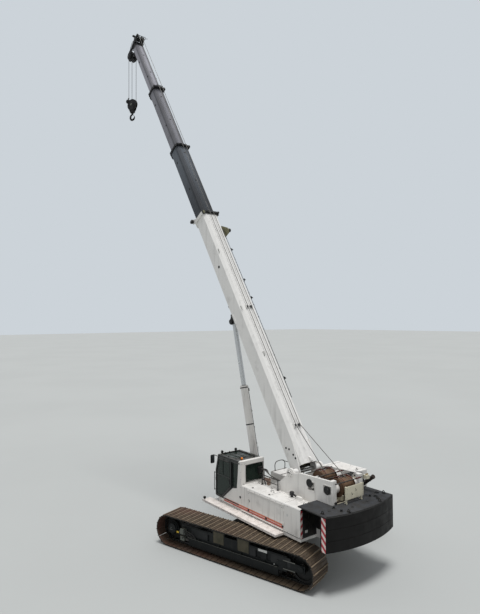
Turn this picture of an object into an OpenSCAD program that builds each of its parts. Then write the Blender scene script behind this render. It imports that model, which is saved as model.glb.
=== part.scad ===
// Telescopic boom crawler crane, boom raised and half extended.
// X runs forward along the boom, Y to the cab's side, Z up from the ground.

/* [Undercarriage] */
// Length of a track over its shoes
track_l = 6100; // [5200:10:6800]
// Height of a track over its shoes
track_h = 1050; // [1000:5:1060]
// Width of a track shoe
shoe_w = 914; // [760:2:940]
// Distance between the middles of the two tracks
track_gauge = 4530; // [4300:10:4700]
// Number of shoes on a track
shoe_n = 62; // [50:1:70]
// Thickness of a shoe's plate
shoe_t = 32; // [24:1:40]
// Height of the rib across a shoe
rib_h = 22; // [12:1:30]
// Height of the chain's links under the shoes
link_h = 60; // [50:1:70]
// Width of a side frame's box
side_w = 460; // [420:5:500]
// How far a side frame draws in for the road
draw_in = 960; // [700:10:970]
// Width of a cross beam
beam_w = 420; // [380:5:440]
// Height of a cross beam
beam_h = 360; // [320:5:370]
// Distance between the middles of the two cross beams
beam_gap = 970; // [900:10:1100]
// Length of the carbody between its cross faces
carbody_l = 1760; // [1700:10:1800]
// Width of the carbody
carbody_w = 1560; // [1500:10:1600]
// Height of a cross beam's middle above the ground
beam_z = 680; // [670:5:690]

/* [Slewing] */
// Turn of the undercarriage against the upper
slew_angle = 16.5; // [0:0.5:30]
// Slewing axis, forward of the upper's datum
slew_x = 230; // [200:5:260]
// Radius of the slewing ring
ring_r = 780; // [740:5:790]
// Underside of the upper's deck above the ground
deck_z = 1105; // [1100:5:1130]
// Height of the deck's main beam
deck_h = 255; // [230:5:280]

/* [Upper] */
// Top of the winch frame's plates
frame_top = 2903; // [2890:1:2920]
// Half width over the winch frame
frame_y = 695; // [680:5:710]
// Thickness of a winch frame plate
frame_t = 75; // [50:5:80]
// Outer face of the housings
house_y = 1371; // [1350:1:1400]
// Top of the left housing
house_top = 2069; // [2000:1:2120]
// Wall of a housing
wall_t = 30; // [20:1:40]
// Outer edge of the walkways
walk_y = 1740; // [1700:5:1780]
// Radius that the tail swings
tail_r = 4235; // [4150:5:4300]
// Depth of the counterweight behind the deck, at its middle
weight_depth = 789; // [760:1:800]
// Half width of the counterweight
weight_y = 1520; // [1450:5:1560]
// Underside of the counterweight
weight_z = 1212; // [1180:2:1240]
// Top of the counterweight's deck
weight_top = 2212; // [2180:2:2230]

/* [Cab] */
// Rear face of the cab
cab_rear_x = 270; // [260:5:300]
// Front face of the cab
cab_front_x = 1804; // [1750:2:1900]
// Width of the cab
cab_w = 1005; // [960:5:1005]
// Underside of the cab's windows
cab_low_z = 1358; // [1340:2:1380]
// Top of the cab
cab_top_z = 2843; // [2800:1:2900]
// Thickness of the cab's posts
post_t = 55; // [45:1:70]
// Thickness of the glass
glass_t = 8; // [6:1:12]

/* [Boom] */
// Boom angle above the horizontal
boom_angle = 57.8; // [50:0.1:65]
// Foot pin, forward of the upper's datum
foot_x = -1425; // [-1440:5:-1410]
// Foot pin above the ground
foot_z = 2725; // [2710:5:2740]
// Radius of the foot pin
foot_pin_r = 60; // [50:1:70]
// Width of the base section
base_w = 720; // [700:5:725]
// Height of the base section
base_h = 895; // [880:5:905]
// Top of the base section above the foot pin
base_top = 385; // [375:5:390]
// Plate thickness of the base section
plate_t = 12; // [10:1:14]
// Sections' fronts lie this far from the foot pin
base_end = 11030; // [11000:10:11100]
// Front of the inner mid section from the foot pin
inner_end = 15150; // [15120:10:15200]
// Front of the outer mid section from the foot pin
outer_end = 19320; // [19290:10:19400]
// Front of the tip section from the foot pin
tip_end = 23130; // [23100:10:23200]
// Length of the inner mid section
inner_l = 10270; // [10200:10:10350]
// Length of the outer mid section
outer_l = 10020; // [9950:10:10100]
// Length of the tip section
tip_l = 9460; // [9400:10:9550]
// How far a section draws in from here
tele_in = 3760; // [3700:10:3770]
// How far a section runs out from here
tele_out = 3850; // [3700:10:3900]
// Radius of the lift cylinder's barrel
barrel_r = 140; // [120:1:150]
// Radius of the lift cylinder's rod
rod_r = 90; // [75:1:100]

/* [Hoist] */
// Radius of a sheave at the boom's head
sheave_r = 250; // [220:2:270]
// Radius of the hoist rope
rope_r = 11; // [9:1:12]
// Drop from the head's sheave to the hook block's sheave
fall_l = 2630; // [2400:10:3000]

/* [Hidden] */
$fn = 48;
fit = 0.3;
clear = 8;

// Undercarriage, derived
loop_r = track_h / 2;
loop_half = track_l / 2 - loop_r;
pitch_r = loop_r - rib_h - shoe_t / 2;
loop_len = 4 * loop_half + 2 * PI * pitch_r;
link_out = loop_r - rib_h - shoe_t;
link_in = link_out - link_h;
side_top = 255;
side_low = -200;
side_half = loop_half - link_in - 60;
beams = [-beam_gap / 2, beam_gap / 2];
beam_y = beam_z - loop_r - beam_h / 2;
roller_r = 100;
roller_u = [for (i = [-4:4]) i * 430];
carrier_r = 75;
carrier_u = [-1300, 1300];
guard_t = 25;
sleeve_t = 35;
axle_r = 50;
neck_r = 120;
tooth_n = 15;
web_t = 10;

// Point at arc length s along the stadium loop, at distance r from its straight middle line
function loop_at(s, r) =
  s < 2 * loop_half ? [s - loop_half, -r] :
  s < 2 * loop_half + PI * pitch_r ?
    let (a = (s - 2 * loop_half) / pitch_r * 180 / PI - 90) [loop_half + r * cos(a), r * sin(a)] :
  s < 4 * loop_half + PI * pitch_r ?
    [loop_half - (s - 2 * loop_half - PI * pitch_r), r] :
    let (a = (s - 4 * loop_half - PI * pitch_r) / pitch_r * 180 / PI + 90)
      [-loop_half + r * cos(a), r * sin(a)];

// One shoe's outline: [share of its pitch, distance from the loop's middle line]
shoe_shape = [[0.03, link_out + web_t], [0.03, loop_r], [0.25, loop_r], [0.33, loop_r - rib_h],
  [0.97, loop_r - rib_h], [0.97, link_out + web_t]];

// The lower, turned under the upper about the slewing axis
module lower() translate([slew_x, 0, 0]) rotate([0, 0, slew_angle]) children();
// One side of the lower, 1 is left and -1 is right: X forward, Y up from the loop's middle, Z inward
module lower_side(side) lower() translate([0, side * track_gauge / 2, loop_r]) rotate([90, 0, 0])
  mirror([0, 0, side > 0 ? 0 : 1]) children();

module stadium(r) {
  translate([-loop_half, -r]) square([2 * loop_half, 2 * r]);
  for (e = [-1, 1]) translate([e * loop_half, 0]) circle(r);
}

module track(side) color("#55483e") lower_side(side) {
  linear_extrude(shoe_w, center = true) difference() {
    polygon([for (i = [0:shoe_n - 1]) for (q = shoe_shape)
      loop_at((i + q[0]) * loop_len / shoe_n, q[1])]);
    stadium(link_out);
  }
  for (e = [-1, 1]) translate([0, 0, e * 75]) linear_extrude(45, center = true) difference() {
    stadium(link_out + 2);
    stadium(link_in);
  }
}

module side_frame(side) color("#1c1c1e") lower_side(side) difference() {
  union() {
    translate([-side_half, side_low, -side_w / 2]) cube([2 * side_half, side_top - side_low, side_w]);
    for (e = [-1, 1]) {
      translate([-1760, -loop_r + 130, e > 0 ? side_w / 2 - guard_t : -side_w / 2]) cube([3520, 290, guard_t]);
      for (u = carrier_u) translate([u - 45, side_top, e * 130 - 15])
        cube([90, link_in - side_top - carrier_r + 35, 30]);
      translate([-loop_half - 130, -110, e > 0 ? side_w / 2 - 40 : -side_w / 2])
        cube([loop_half + 130 - side_half + 1, 220, 40]);
    }
    translate([-1760, -loop_r + 400, -side_w / 2 - 60]) cube([3520, 22, 61]);
    translate([side_half - 1, -200, side_w / 2 - 40]) cube([loop_half - side_half + 1, 400, 40]);
    translate([loop_half, 0, side_w / 2 - 40]) cylinder(r = 200, h = 40);
    for (u = beams) translate([u - beam_w / 2 - sleeve_t, beam_y - sleeve_t, -side_w / 2])
      cube([beam_w + 2 * sleeve_t, beam_h + 2 * sleeve_t, side_w + 160]);
  }
  for (u = beams) translate([u - beam_w / 2 - 5, beam_y - fit, -500])
    cube([beam_w + 10, beam_h + 2 * fit, 1000]);
  translate([-loop_half, 0, -300]) cylinder(r = axle_r + fit, h = 600);
  translate([loop_half, 0, 0]) cylinder(r = neck_r + fit, h = 600);
  for (u = carrier_u) translate([u, link_in - carrier_r - fit, -200]) cylinder(r = 25 + fit, h = 400);
  for (u = [-1500, -1000, 1000, 1500]) translate([u - 150, -40, -side_w / 2 - 1]) cube([300, 200, 30]);
}

module rollers(side) color("#2b2724") lower_side(side) {
  for (u = roller_u) translate([u, -link_in + roller_r + fit, 0]) {
    cylinder(r = roller_r, h = 280, center = true);
    cylinder(r = 45, h = side_w - 2 * guard_t - 2 * fit, center = true);
  }
  for (u = carrier_u) translate([u, link_in - carrier_r - fit, 0]) {
    cylinder(r = carrier_r, h = 220, center = true);
    cylinder(r = 25, h = 290, center = true);
  }
  translate([-loop_half, 0, 0]) {
    cylinder(r = link_in - fit, h = 190, center = true);
    cylinder(r = 130, h = 320, center = true);
    cylinder(r = axle_r, h = side_w, center = true);
  }
}

module drive(side) color("#232325") lower_side(side) translate([loop_half, 0, 0]) {
  linear_extrude(70, center = true) polygon([for (i = [0:tooth_n - 1])
    for (q = [[0, link_in - 40], [0.2, link_in - fit], [0.5, link_in - fit], [0.7, link_in - 40]])
      let (a = (i + q[0]) * 360 / tooth_n) [q[1] * cos(a), q[1] * sin(a)]]);
  cylinder(r = 235, h = 300, center = true);
  translate([0, 0, 140]) cylinder(r = neck_r, h = 140);
  translate([0, 0, side_w / 2 + fit]) cylinder(r = 170, h = 100);
  translate([0, 0, -190]) cylinder(r = 175, h = 60);
}

module carbody() color("#1f1f21") lower() {
  for (u = beams) translate([u - beam_w / 2, -track_gauge / 2 - side_w / 2, beam_z - beam_h / 2])
    cube([beam_w, track_gauge + side_w, beam_h]);
  difference() {
    translate([-carbody_l / 2, -carbody_w / 2, 470]) cube([carbody_l, carbody_w, deck_z - 150 - 470]);
    for (e = [-1, 1]) translate([-150, e > 0 ? 300 : -700, 469]) cube([300, 400, 140]);
  }
  translate([0, 0, deck_z - 151]) cylinder(r = ring_r - 40, h = 31 - fit);
}

module slewing_ring() color("#4a4a4c") translate([slew_x, 0, deck_z - 120]) difference() {
  cylinder(r = ring_r, h = 120 - fit);
  translate([0, 0, -1]) cylinder(r = ring_r - 130, h = 122);
}

// Upper, derived
deck_top = deck_z + deck_h;
wing_h = 85;
wing_top = deck_z + wing_h;
house_rear = -2577;
frame_in = frame_y - frame_t;
deck_rear = slew_x - tail_r + weight_depth;
deck_front = 1500;
right_y = 1500;
right_top = 2780;
base_low = base_top - base_h;
cyl_base = [985, 1600];
lug_s = 6200;
lug_n = base_low - 160;
cyl_pin_r = 55;
rear_l = foot_x - deck_rear;
drum_main = [foot_x - 0.483 * rear_l, 2640];
drum_aux = [foot_x - 0.8906 * rear_l, 2600];
drum_half = 285;
column_w = 120;
foot_boss_r = 170;
cab_in_y = house_y - cab_w;
right_front = 1200;
door_gap = 6;
left_door_x = [-1850, -60];
left_door_z = [1265, 1955];
hinge_off = 12;
knuckle_r = 10;
walk_rear = left_door_x[0] - hinge_off;

module deck() color("#e6e5e1") {
  difference() {
    translate([deck_rear, -frame_y, deck_z]) cube([deck_front - deck_rear, 2 * frame_y, deck_h]);
    translate([slew_x, 0, deck_z - 1]) cylinder(r = 260, h = deck_h + 2);
    for (q = [[deck_rear + 106, 1150], [-1850, 1100], [1120, 300]])
      translate([q[0], -frame_y + 40, deck_z - 1]) cube([q[1], 2 * frame_y - 80, deck_h - 30]);
  }
  translate([house_rear, frame_y - 1, deck_z]) cube([cab_front_x + 100 - house_rear, house_y - frame_y + 1, wing_h]);
  translate([bank_rear, -right_y, deck_z]) cube([right_front - bank_rear, right_y - frame_y + 1, wing_h]);
  for (e = [-1, 1]) difference() {
    union() {
      translate([cyl_base[0] - 200, e * 230 - 30, deck_top - 1]) cube([400, 60, cyl_base[1] - deck_top + 1]);
      translate([cyl_base[0], e * 230 + 30, cyl_base[1]]) rotate([90, 0, 0]) cylinder(r = 150, h = 60);
      translate([cyl_base[0], e * 230 + 50, cyl_base[1]]) rotate([90, 0, 0]) cylinder(r = 80, h = 100);
    }
    translate([cyl_base[0] - 200, e > 0 ? 150 : -200, cyl_base[1] - 160]) cube([400, 50, 320]);
  }
  translate([cab_rear_x, frame_y - 1, wing_top - 1]) cube([cab_front_x - 150 - cab_rear_x, house_y - frame_y - 60, deck_top - wing_top + 1]);
}

walk_front = cab_front_x + 312;
house_front = -300;
tower_front = -1500;
bank_rear = house_rear - 170;
module walkway(y0, x1) color("#efe9e6") difference() {
  translate([walk_rear, y0 + (y0 > 0 ? fit : -(walk_y - abs(y0))), deck_z + 5])
    cube([x1 - walk_rear, walk_y - abs(y0) - fit, 70]);
  translate([walk_rear + 30, y0 + (y0 > 0 ? 30 : -(walk_y - abs(y0)) + 30), deck_z])
    cube([x1 - walk_rear - 60, walk_y - abs(y0) - 60, 65]);
}

module plate_outline() {
  difference() {
    union() {
      polygon([[deck_rear, deck_top], [deck_rear, frame_top], [-1850, frame_top - 63], [foot_x + 60, foot_z],
        [-930, 2370], [200, 1790], [200, deck_top]]);
      translate([foot_x, foot_z]) circle(foot_boss_r);
    }
    translate([foot_x, foot_z]) circle(foot_pin_r + fit);
    translate([foot_x - 0.6 * rear_l, frame_top - 463]) square([0.15 * rear_l, 260]);
    translate([deck_rear + 36, frame_top - 403]) square([0.1675 * rear_l, 240]);
  }
}

module winch_frame() color("#ecebe7") {
  for (e = [-1, 1]) translate([0, e * (frame_y - frame_t / 2), 0]) rotate([90, 0, 0])
    linear_extrude(frame_t, center = true) plate_outline();
  for (e = [-1, 1]) {
    translate([deck_rear, e > 0 ? frame_in - column_w : -frame_in - 1, deck_top])
      cube([120, column_w + 1, frame_top - deck_top]);
    for (d = [drum_main, drum_aux]) difference() {
      translate([d[0], e > 0 ? drum_half + 20 : -frame_in - 1, d[1]]) rotate([-90, 0, 0])
        cylinder(r = 150, h = frame_in - drum_half - 19);
      translate([d[0], -700, d[1]]) rotate([-90, 0, 0]) cylinder(r = 60 + fit, h = 1400);
    }
  }
  translate([deck_rear + 36, -frame_in - 1, deck_top]) cube([60, 2 * frame_in + 2, 700]);
  translate([-1250, -frame_in - 1, deck_top]) cube([60, 2 * frame_in + 2, 600]);
}

// Section through a housing: plain box with its outer top edge rounded, drawn as [y, z]
module hood_section(y0, y1, z0, z1, r) {
  translate([y0, z0]) square([y1 - y0, z1 - z0 - r]);
  translate([y0, z1 - r - 1]) square([y1 - y0 - r, r + 1]);
  translate([y1 - r, z1 - r]) circle(r);
}
module hood(x0, x1, y0, y1, z0, z1, t) difference() {
  translate([x0, 0, 0]) rotate([90, 0, 90]) linear_extrude(x1 - x0) hood_section(y0, y1, z0, z1, 45);
  translate([x0 + t, 0, 0]) rotate([90, 0, 90]) linear_extrude(x1 - x0 - 2 * t)
    hood_section(y0 + t, y1 - t, z0 - 1, z1 - t, 15);
}

module left_housing() color("#e4e4e2") difference() {
  hood(house_rear, cab_rear_x - 6, frame_y + fit, house_y, wing_top, house_top, wall_t);
  translate([left_door_x[0], house_y - wall_t - 1, left_door_z[0]])
    cube([left_door_x[1] - left_door_x[0], wall_t + 2, left_door_z[1] - left_door_z[0]]);
}
module side_door(x, z, y) {
  translate([x[0] + door_gap, y - wall_t, z[0] + door_gap])
    cube([x[1] - x[0] - 2 * door_gap, wall_t, z[1] - z[0] - 2 * door_gap]);
  for (k = [z[0] + 100, z[1] - 200]) {
    translate([x[0], y + hinge_off, k]) cylinder(r = knuckle_r, h = 100);
    translate([x[0], y - 1, k]) cube([40, hinge_off + 1, 100]);
  }
}
module left_door() color("#e4e4e2") {
  side_door(left_door_x, left_door_z, house_y);
  translate([left_door_x[1] - 90, house_y - 1, 1620]) cube([60, 19, 60]);
}

right_door_x = [-2450, -1150];
right_door_z = [1265, 1955];
module right_housing() color("#e4e4e2") mirror([0, 1, 0]) difference() {
  union() {
    for (q = [[house_front, house_top], [tower_front, right_top]]) translate([bank_rear, frame_y + fit, wing_top])
      cube([q[0] - bank_rear, right_y - frame_y - fit, q[1] - wing_top]);
  }
  for (q = [[house_front, house_top], [tower_front, right_top]])
    translate([bank_rear + wall_t, frame_y + wall_t, wing_top - 1])
      cube([q[0] - bank_rear - 2 * wall_t, right_y - frame_y - 2 * wall_t, q[1] - wing_top - wall_t + 1]);
  translate([right_door_x[0], right_y - wall_t - 1, right_door_z[0]])
    cube([right_door_x[1] - right_door_x[0], wall_t + 2, right_door_z[1] - right_door_z[0]]);
}
module right_door() color("#e4e4e2") mirror([0, 1, 0]) {
  side_door(right_door_x, right_door_z, right_y);
  translate([right_door_x[1] - 90, right_y - 1, 1620]) cube([60, 19, 60]);
}
module engine() color("#6d6a60") translate([-2450, -1400, wing_top]) cube([1250, 620, 820]);
module exhaust() color("#161616") {
  translate([bank_rear - fit, -1200, 2420]) rotate([0, -90, 0]) cylinder(r = 62, h = 120);
  translate([house_rear - 290, -1200, 2420]) sphere(66);
  translate([house_rear - 290, -1200, 2420]) rotate([0, -52, 0]) cylinder(r = 62, h = 480);
}
module fuel_tank() color("#e4e4e2") translate([0, -right_y + 60, wing_top]) cube([1150, right_y - frame_y - 65, 780]);

function arc_at(a, r) = [slew_x - r * cos(a), r * sin(a)];
half_a = asin(weight_y / tail_r);
module slab_outline() polygon(concat([for (i = [-8:8]) arc_at(half_a * i / 8, tail_r)],
  [[slew_x - tail_r * cos(half_a) + 170, weight_y], [deck_rear - 44, 1250], [deck_rear - 44, 900], [deck_rear - fit, 900],
   [deck_rear - fit, -900], [deck_rear - 44, -900], [deck_rear - 44, -1250],
   [slew_x - tail_r * cos(half_a) + 170, -weight_y]]));
slab_h = (weight_top - 40 - weight_z) / 3;
module counterweight() color("#131313") for (i = [0:2])
  translate([0, 0, weight_z + i * slab_h]) linear_extrude(slab_h - fit) slab_outline();
module counterweight_deck() color("#3a3b3e") difference() {
  translate([0, 0, weight_top - 40]) linear_extrude(40) polygon(concat(
    [for (i = [-8:8]) arc_at(half_a * i / 8, tail_r)], [[house_rear - 20, weight_y - 20],
     [house_rear - 20, frame_y + 5], [deck_rear - 5, frame_y + 5], [deck_rear - 5, -frame_y - 5], [house_rear - 180, -frame_y - 5],
     [house_rear - 180, -weight_y + 20]]));
  for (q = [[deck_rear - 94, -1260], [deck_rear - 284, -960]]) translate([q[0], q[1], weight_top - 41]) cylinder(r = 70, h = 42);
}
module rear_plate() color("#dcd6c4") {
  translate([deck_rear - 204, -490, 2330]) cube([14, 830, 390]);
  for (y = [-440, 250]) translate([deck_rear - 190, y, weight_top + fit]) cube([50, 50, 500]);
}

cab_z0 = deck_top + fit;
floor_t = 60;
door_x = [811, cab_front_x - 60];
side_glass = [[cab_rear_x + 90, 1900], [door_x[0] - 40, 1900], [door_x[0] - 40, cab_top_z - 130],
  [cab_rear_x + 90, cab_top_z - 130]];
door_shape = [[door_x[0] + 40, 1840], [door_x[0] + 560, cab_z0 + 70], [door_x[1] - 20, cab_z0 + 70],
  [door_x[1] - 20, 2260], [door_x[1] - 165, cab_top_z - 120], [door_x[0] + 40, cab_top_z - 120]];
roof_glass = [[cab_rear_x + 420, cab_in_y + 110], [cab_front_x - 230, house_y - 110]];

module along_y(y0, y1) translate([0, y1, 0]) rotate([90, 0, 0]) linear_extrude(y1 - y0) children();

module cab_hollow() along_y(cab_in_y + post_t, house_y - post_t) polygon([[cab_rear_x - 1, cab_z0 + floor_t],
  [cab_front_x - post_t, cab_z0 + floor_t], [cab_front_x - post_t, 2240],
  [cab_front_x - 150 - post_t, cab_top_z - post_t], [cab_rear_x - 1, cab_top_z - post_t]]);
module cab_frame() color("#17191a") {
  cab_body();
  translate([cab_rear_x + 80, house_y - 1, cab_top_z - 90 + fit]) cube([1240, 41, 26]);
  translate([cab_rear_x + 130, house_y - 1, cab_z0]) cube([1300, 41, 20 - fit]);
}
module cab_body() difference() {
  along_y(cab_in_y, house_y) polygon([[cab_rear_x + 60 + fit, cab_z0], [cab_front_x - 90, cab_z0],
    [cab_front_x, cab_z0 + 80], [cab_front_x, 2250], [cab_front_x - 160, cab_top_z],
    [cab_rear_x + 60 + fit, cab_top_z]]);
  cab_hollow();
  along_y(cab_in_y - 1, cab_in_y + post_t + 1) polygon([[cab_rear_x + 160, 1900], [cab_front_x - 130, 1900],
    [cab_front_x - 130, 2250], [cab_front_x - 240, cab_top_z - 120], [cab_rear_x + 160, cab_top_z - 120]]);
  along_y(house_y - post_t - 1, house_y + 1) polygon(side_glass);
  along_y(house_y - post_t - 1, house_y + 1) polygon(door_shape);
  translate([cab_front_x - 400, cab_in_y + 70, cab_low_z + 90]) cube([500, cab_w - 140, 860]);
  translate([roof_glass[0][0], roof_glass[0][1], cab_top_z - post_t - 1])
    cube([roof_glass[1][0] - roof_glass[0][0], roof_glass[1][1] - roof_glass[0][1], post_t + 2]);
}
// Outline with round corners from its lower to its upper corner, drawn as [y, z]
module rounded(lo, hi, r) {
  translate([lo[0] + r, lo[1]]) square([hi[0] - lo[0] - 2 * r, hi[1] - lo[1]]);
  translate([lo[0], lo[1] + r]) square([hi[0] - lo[0], hi[1] - lo[1] - 2 * r]);
  for (y = [lo[0] + r, hi[0] - r], z = [lo[1] + r, hi[1] - r]) translate([y, z]) circle(r);
}
back_window = [[cab_in_y + 45, 2130], [house_y - 200, 2700]];
module cab_back() color("#eceae6") translate([cab_rear_x, 0, 0]) rotate([90, 0, 90]) linear_extrude(60) difference() {
  rounded([cab_in_y, cab_z0], [house_y, cab_top_z], 40);
  rounded(back_window[0], back_window[1], 60);
}
module cab_glass() color("#1d2a26") {
  along_y(house_y - 30, house_y - 30 + glass_t) polygon(side_glass);
  along_y(cab_in_y + 22, cab_in_y + 22 + glass_t) polygon([[cab_rear_x + 160, 1900], [cab_front_x - 130, 1900],
    [cab_front_x - 130, 2250], [cab_front_x - 240, cab_top_z - 120], [cab_rear_x + 160, cab_top_z - 120]]);
  translate([cab_rear_x + 26, 0, 0]) rotate([90, 0, 90]) linear_extrude(glass_t) rounded(back_window[0], back_window[1], 60);
  translate([cab_front_x - 30, cab_in_y + 70, cab_low_z + 90]) cube([glass_t, cab_w - 140, 860]);
  translate([roof_glass[0][0], roof_glass[0][1], cab_top_z - 30])
    cube([roof_glass[1][0] - roof_glass[0][0], roof_glass[1][1] - roof_glass[0][1], glass_t]);
}
door_out = house_y + 6;
module cab_door() color("#141617") {
  along_y(door_out, door_out + 34) difference() {
    polygon([[door_x[0], 1850], [door_x[0] + 540, cab_z0 + 20], [door_x[1], cab_z0 + 20], [door_x[1], 2265],
      [door_x[1] - 150, cab_top_z - 90], [door_x[0], cab_top_z - 90]]);
    polygon([[door_x[0] + 60, 1880], [door_x[0] + 575, cab_z0 + 80], [door_x[1] - 60, cab_z0 + 80],
      [door_x[1] - 60, 2255], [door_x[1] - 200, cab_top_z - 150], [door_x[0] + 60, cab_top_z - 150]]);
  }
}
module door_glass() color("#1d2a26") along_y(door_out + 12, door_out + 12 + glass_t)
    polygon([[door_x[0] + 60, 1880], [door_x[0] + 575, cab_z0 + 80], [door_x[1] - 60, cab_z0 + 80],
      [door_x[1] - 60, 2255], [door_x[1] - 200, cab_top_z - 150], [door_x[0] + 60, cab_top_z - 150]]);
module cab_seat() color("#26282b") translate([620, 0, cab_z0 + floor_t + fit]) {
  translate([60, cab_in_y + 280, 0]) cube([380, 380, 280]);
  translate([0, cab_in_y + 210, 280]) cube([520, 500, 120]);
  translate([0, cab_in_y + 210, 400]) cube([120, 500, 560]);
}
module cab_console() color("#303236") translate([1300, cab_in_y + 120, cab_z0 + floor_t + fit]) cube([160, 220, 620]);
module handrails() color("#232323") {
  for (x = [-100, -900]) translate([x, frame_y + 60, house_top + fit]) cylinder(r = 17, h = 330);
  translate([-917, frame_y + 60, house_top + 330]) rotate([0, 90, 0]) cylinder(r = 17, h = 834);
}

// Winch drums turn on their own shafts in the winch frame
module drum(at, flange, core) translate([at[0], 0, at[1]]) rotate([90, 0, 0]) {
  cylinder(r = core, h = 2 * drum_half - 40, center = true);
  for (e = [-1, 1]) translate([0, 0, e * (drum_half - 15)]) cylinder(r = flange, h = 30, center = true);
  cylinder(r = 60, h = 2 * frame_in - 2, center = true);
}
module main_winch() color("#5d4436") drum(drum_main, 0.162 * rear_l, 0.135 * rear_l);
module aux_winch() color("#5d4436") drum(drum_aux, 0.151 * rear_l, 0.123 * rear_l);

// Boom's own frame: X along the boom from the foot pin, Z square to it
module on_boom() translate([foot_x, 0, foot_z]) rotate([0, -boom_angle, 0]) children();
// Formed section: [width, top, bottom] with small top bevels and deep bottom ones, drawn as [y, z]
step_w = 80;
step_n = 62;
function nested(i) = [base_w - step_w * i, base_top - step_n * i, base_low + step_n * i];
base_sec = nested(0);
inner_sec = nested(1);
outer_sec = nested(2);
tip_sec = nested(3);
function section(s, g) = let (w = s[0] / 2 + g, t = s[1] + g, b = s[2] - g, c = s[0] * 0.13, d = s[0] * 0.34)
  [[-w + c, t], [w - c, t], [w, t - c], [w, b + d], [w - d, b], [-w + d, b], [-w, b + d], [-w, t - c]];
module tube(s, x0, x1, t) translate([x0, 0, 0]) rotate([90, 0, 90]) linear_extrude(x1 - x0) difference() {
  polygon(section(s, 0));
  polygon(section(s, -t));
}
module band(s_out, g_out, s_in, g_in, x0, x1) translate([x0, 0, 0]) rotate([90, 0, 90])
  linear_extrude(x1 - x0) difference() {
    polygon(section(s_out, g_out));
    polygon(section(s_in, g_in));
  }
lip = 40;
// Rope guides stand on the collars and reach past their right edge
guide_out = 40;
guide_h = 35;
module boom_base() color("#f0efec") on_boom() difference() {
  union() {
    tube(base_sec, 125, base_end - lip, plate_t);
    for (e = [-1, 1]) {
      translate([0, e * (base_w / 2 + 20), 0]) rotate([90, 0, 0]) linear_extrude(40, center = true) {
        circle(foot_boss_r - 10);
        polygon([[-20, 158], [900, 330], [900, -120], [-20, -158]]);
      }
      translate([0, e > 0 ? base_w / 2 : -frame_in + 5, 0]) rotate([-90, 0, 0])
        cylinder(r = 110, h = frame_in - base_w / 2 - 5);
    }
    for (e = [-1, 1]) translate([lug_s, e * 130 + 25, lug_n]) rotate([90, 0, 0]) linear_extrude(50) {
      circle(120);
      polygon([[-120, 0], [-145, 200], [260, 200], [120, 0]]);
    }
  }
  rotate([90, 0, 0]) cylinder(r = foot_pin_r + fit, h = 2000, center = true);
  translate([lug_s, 0, lug_n]) rotate([90, 0, 0]) cylinder(r = cyl_pin_r + fit, h = 600, center = true);
}
module foot_pin() color("#b9b9b9") on_boom() rotate([90, 0, 0]) cylinder(r = foot_pin_r, h = 2 * frame_y, center = true);
module boom_inner() color("#4b5056") on_boom() tube(inner_sec, inner_end - lip - inner_l, inner_end - lip, plate_t);
module boom_outer() color("#7d8084") on_boom() tube(outer_sec, outer_end - lip - outer_l, outer_end - lip, plate_t);
module boom_tip() color("#9b9da0") on_boom() tube(tip_sec, tip_end - tip_l, tip_end, plate_t);
module collar(s, n, x1, deep) color("#161719") on_boom() {
  band(s, 40, s, fit, x1 - deep, x1 - lip + fit);
  band(s, 40, n, clear, x1 - lip + fit, x1);
  for (e = [-1, 1]) {
    translate([x1 - lip + 5, e > 0 ? n[0] / 2 + fit : -n[0] / 2 - 12, n[2] + 0.4 * n[0]]) cube([lip - 10, 12 - fit, 120]);
    translate([x1 - lip + 5, -60, e > 0 ? n[1] + fit : n[2] - 12]) cube([lip - 10, 120, 12 - fit]);
  }
  translate([x1 - 100, -s[0] / 2 - guide_out, s[1] + 38]) cube([80, 0.8 * s[0] + guide_out, guide_h]);
  translate([x1 - 100, -s[0] / 2 - guide_out, s[1] - 30]) cube([80, 30, guide_h + 93]);
  translate([x1 - 100, 0.3 * s[0] - 30, s[1] + 38]) cube([80, 30, guide_h + 25]);
}
module base_collar() collar(base_sec, inner_sec, base_end, 150);
module inner_collar() collar(inner_sec, outer_sec, inner_end, 110);
module outer_collar() collar(outer_sec, tip_sec, outer_end, 130);

head_low = [tip_end + 50, -700];
head_top = [tip_end + 110, 330];
idler_r = 145;
head_y = 200;
jib_at = [tip_end + 150, 40];
jib_r = 30;
flange_t = 14;
fall_y = 92;
module boom_head() color("#141517") on_boom() {
  for (e = [-1, 1]) difference() {
    translate([0, e * head_y + 12, 0]) rotate([90, 0, 0]) linear_extrude(24) difference() {
      union() {
        polygon([[tip_end + fit, tip_sec[2] - fit], [tip_end + fit, tip_sec[1] + fit],
          [tip_end - 30, tip_sec[1] + fit], [tip_end - 30, 400], [tip_end + 60, 480], [tip_end + 210, 450],
          [tip_end + 270, 200], [tip_end + 190, -300], [head_low[0] + 180, head_low[1]],
          [head_low[0] - 180, head_low[1]], [tip_end - 30, head_low[1] + 180], [tip_end - 30, tip_sec[2] - fit]]);
        translate(head_low) circle(180);
      }
      translate(head_low) circle(40 + fit);
      translate(head_top) circle(35 + fit);
      translate(jib_at) circle(jib_r);
    }
  }
  band([tip_sec[0] + 30, tip_sec[1], tip_sec[2]], 0, tip_sec, -plate_t, tip_end + fit, tip_end + flange_t);
}
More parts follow.
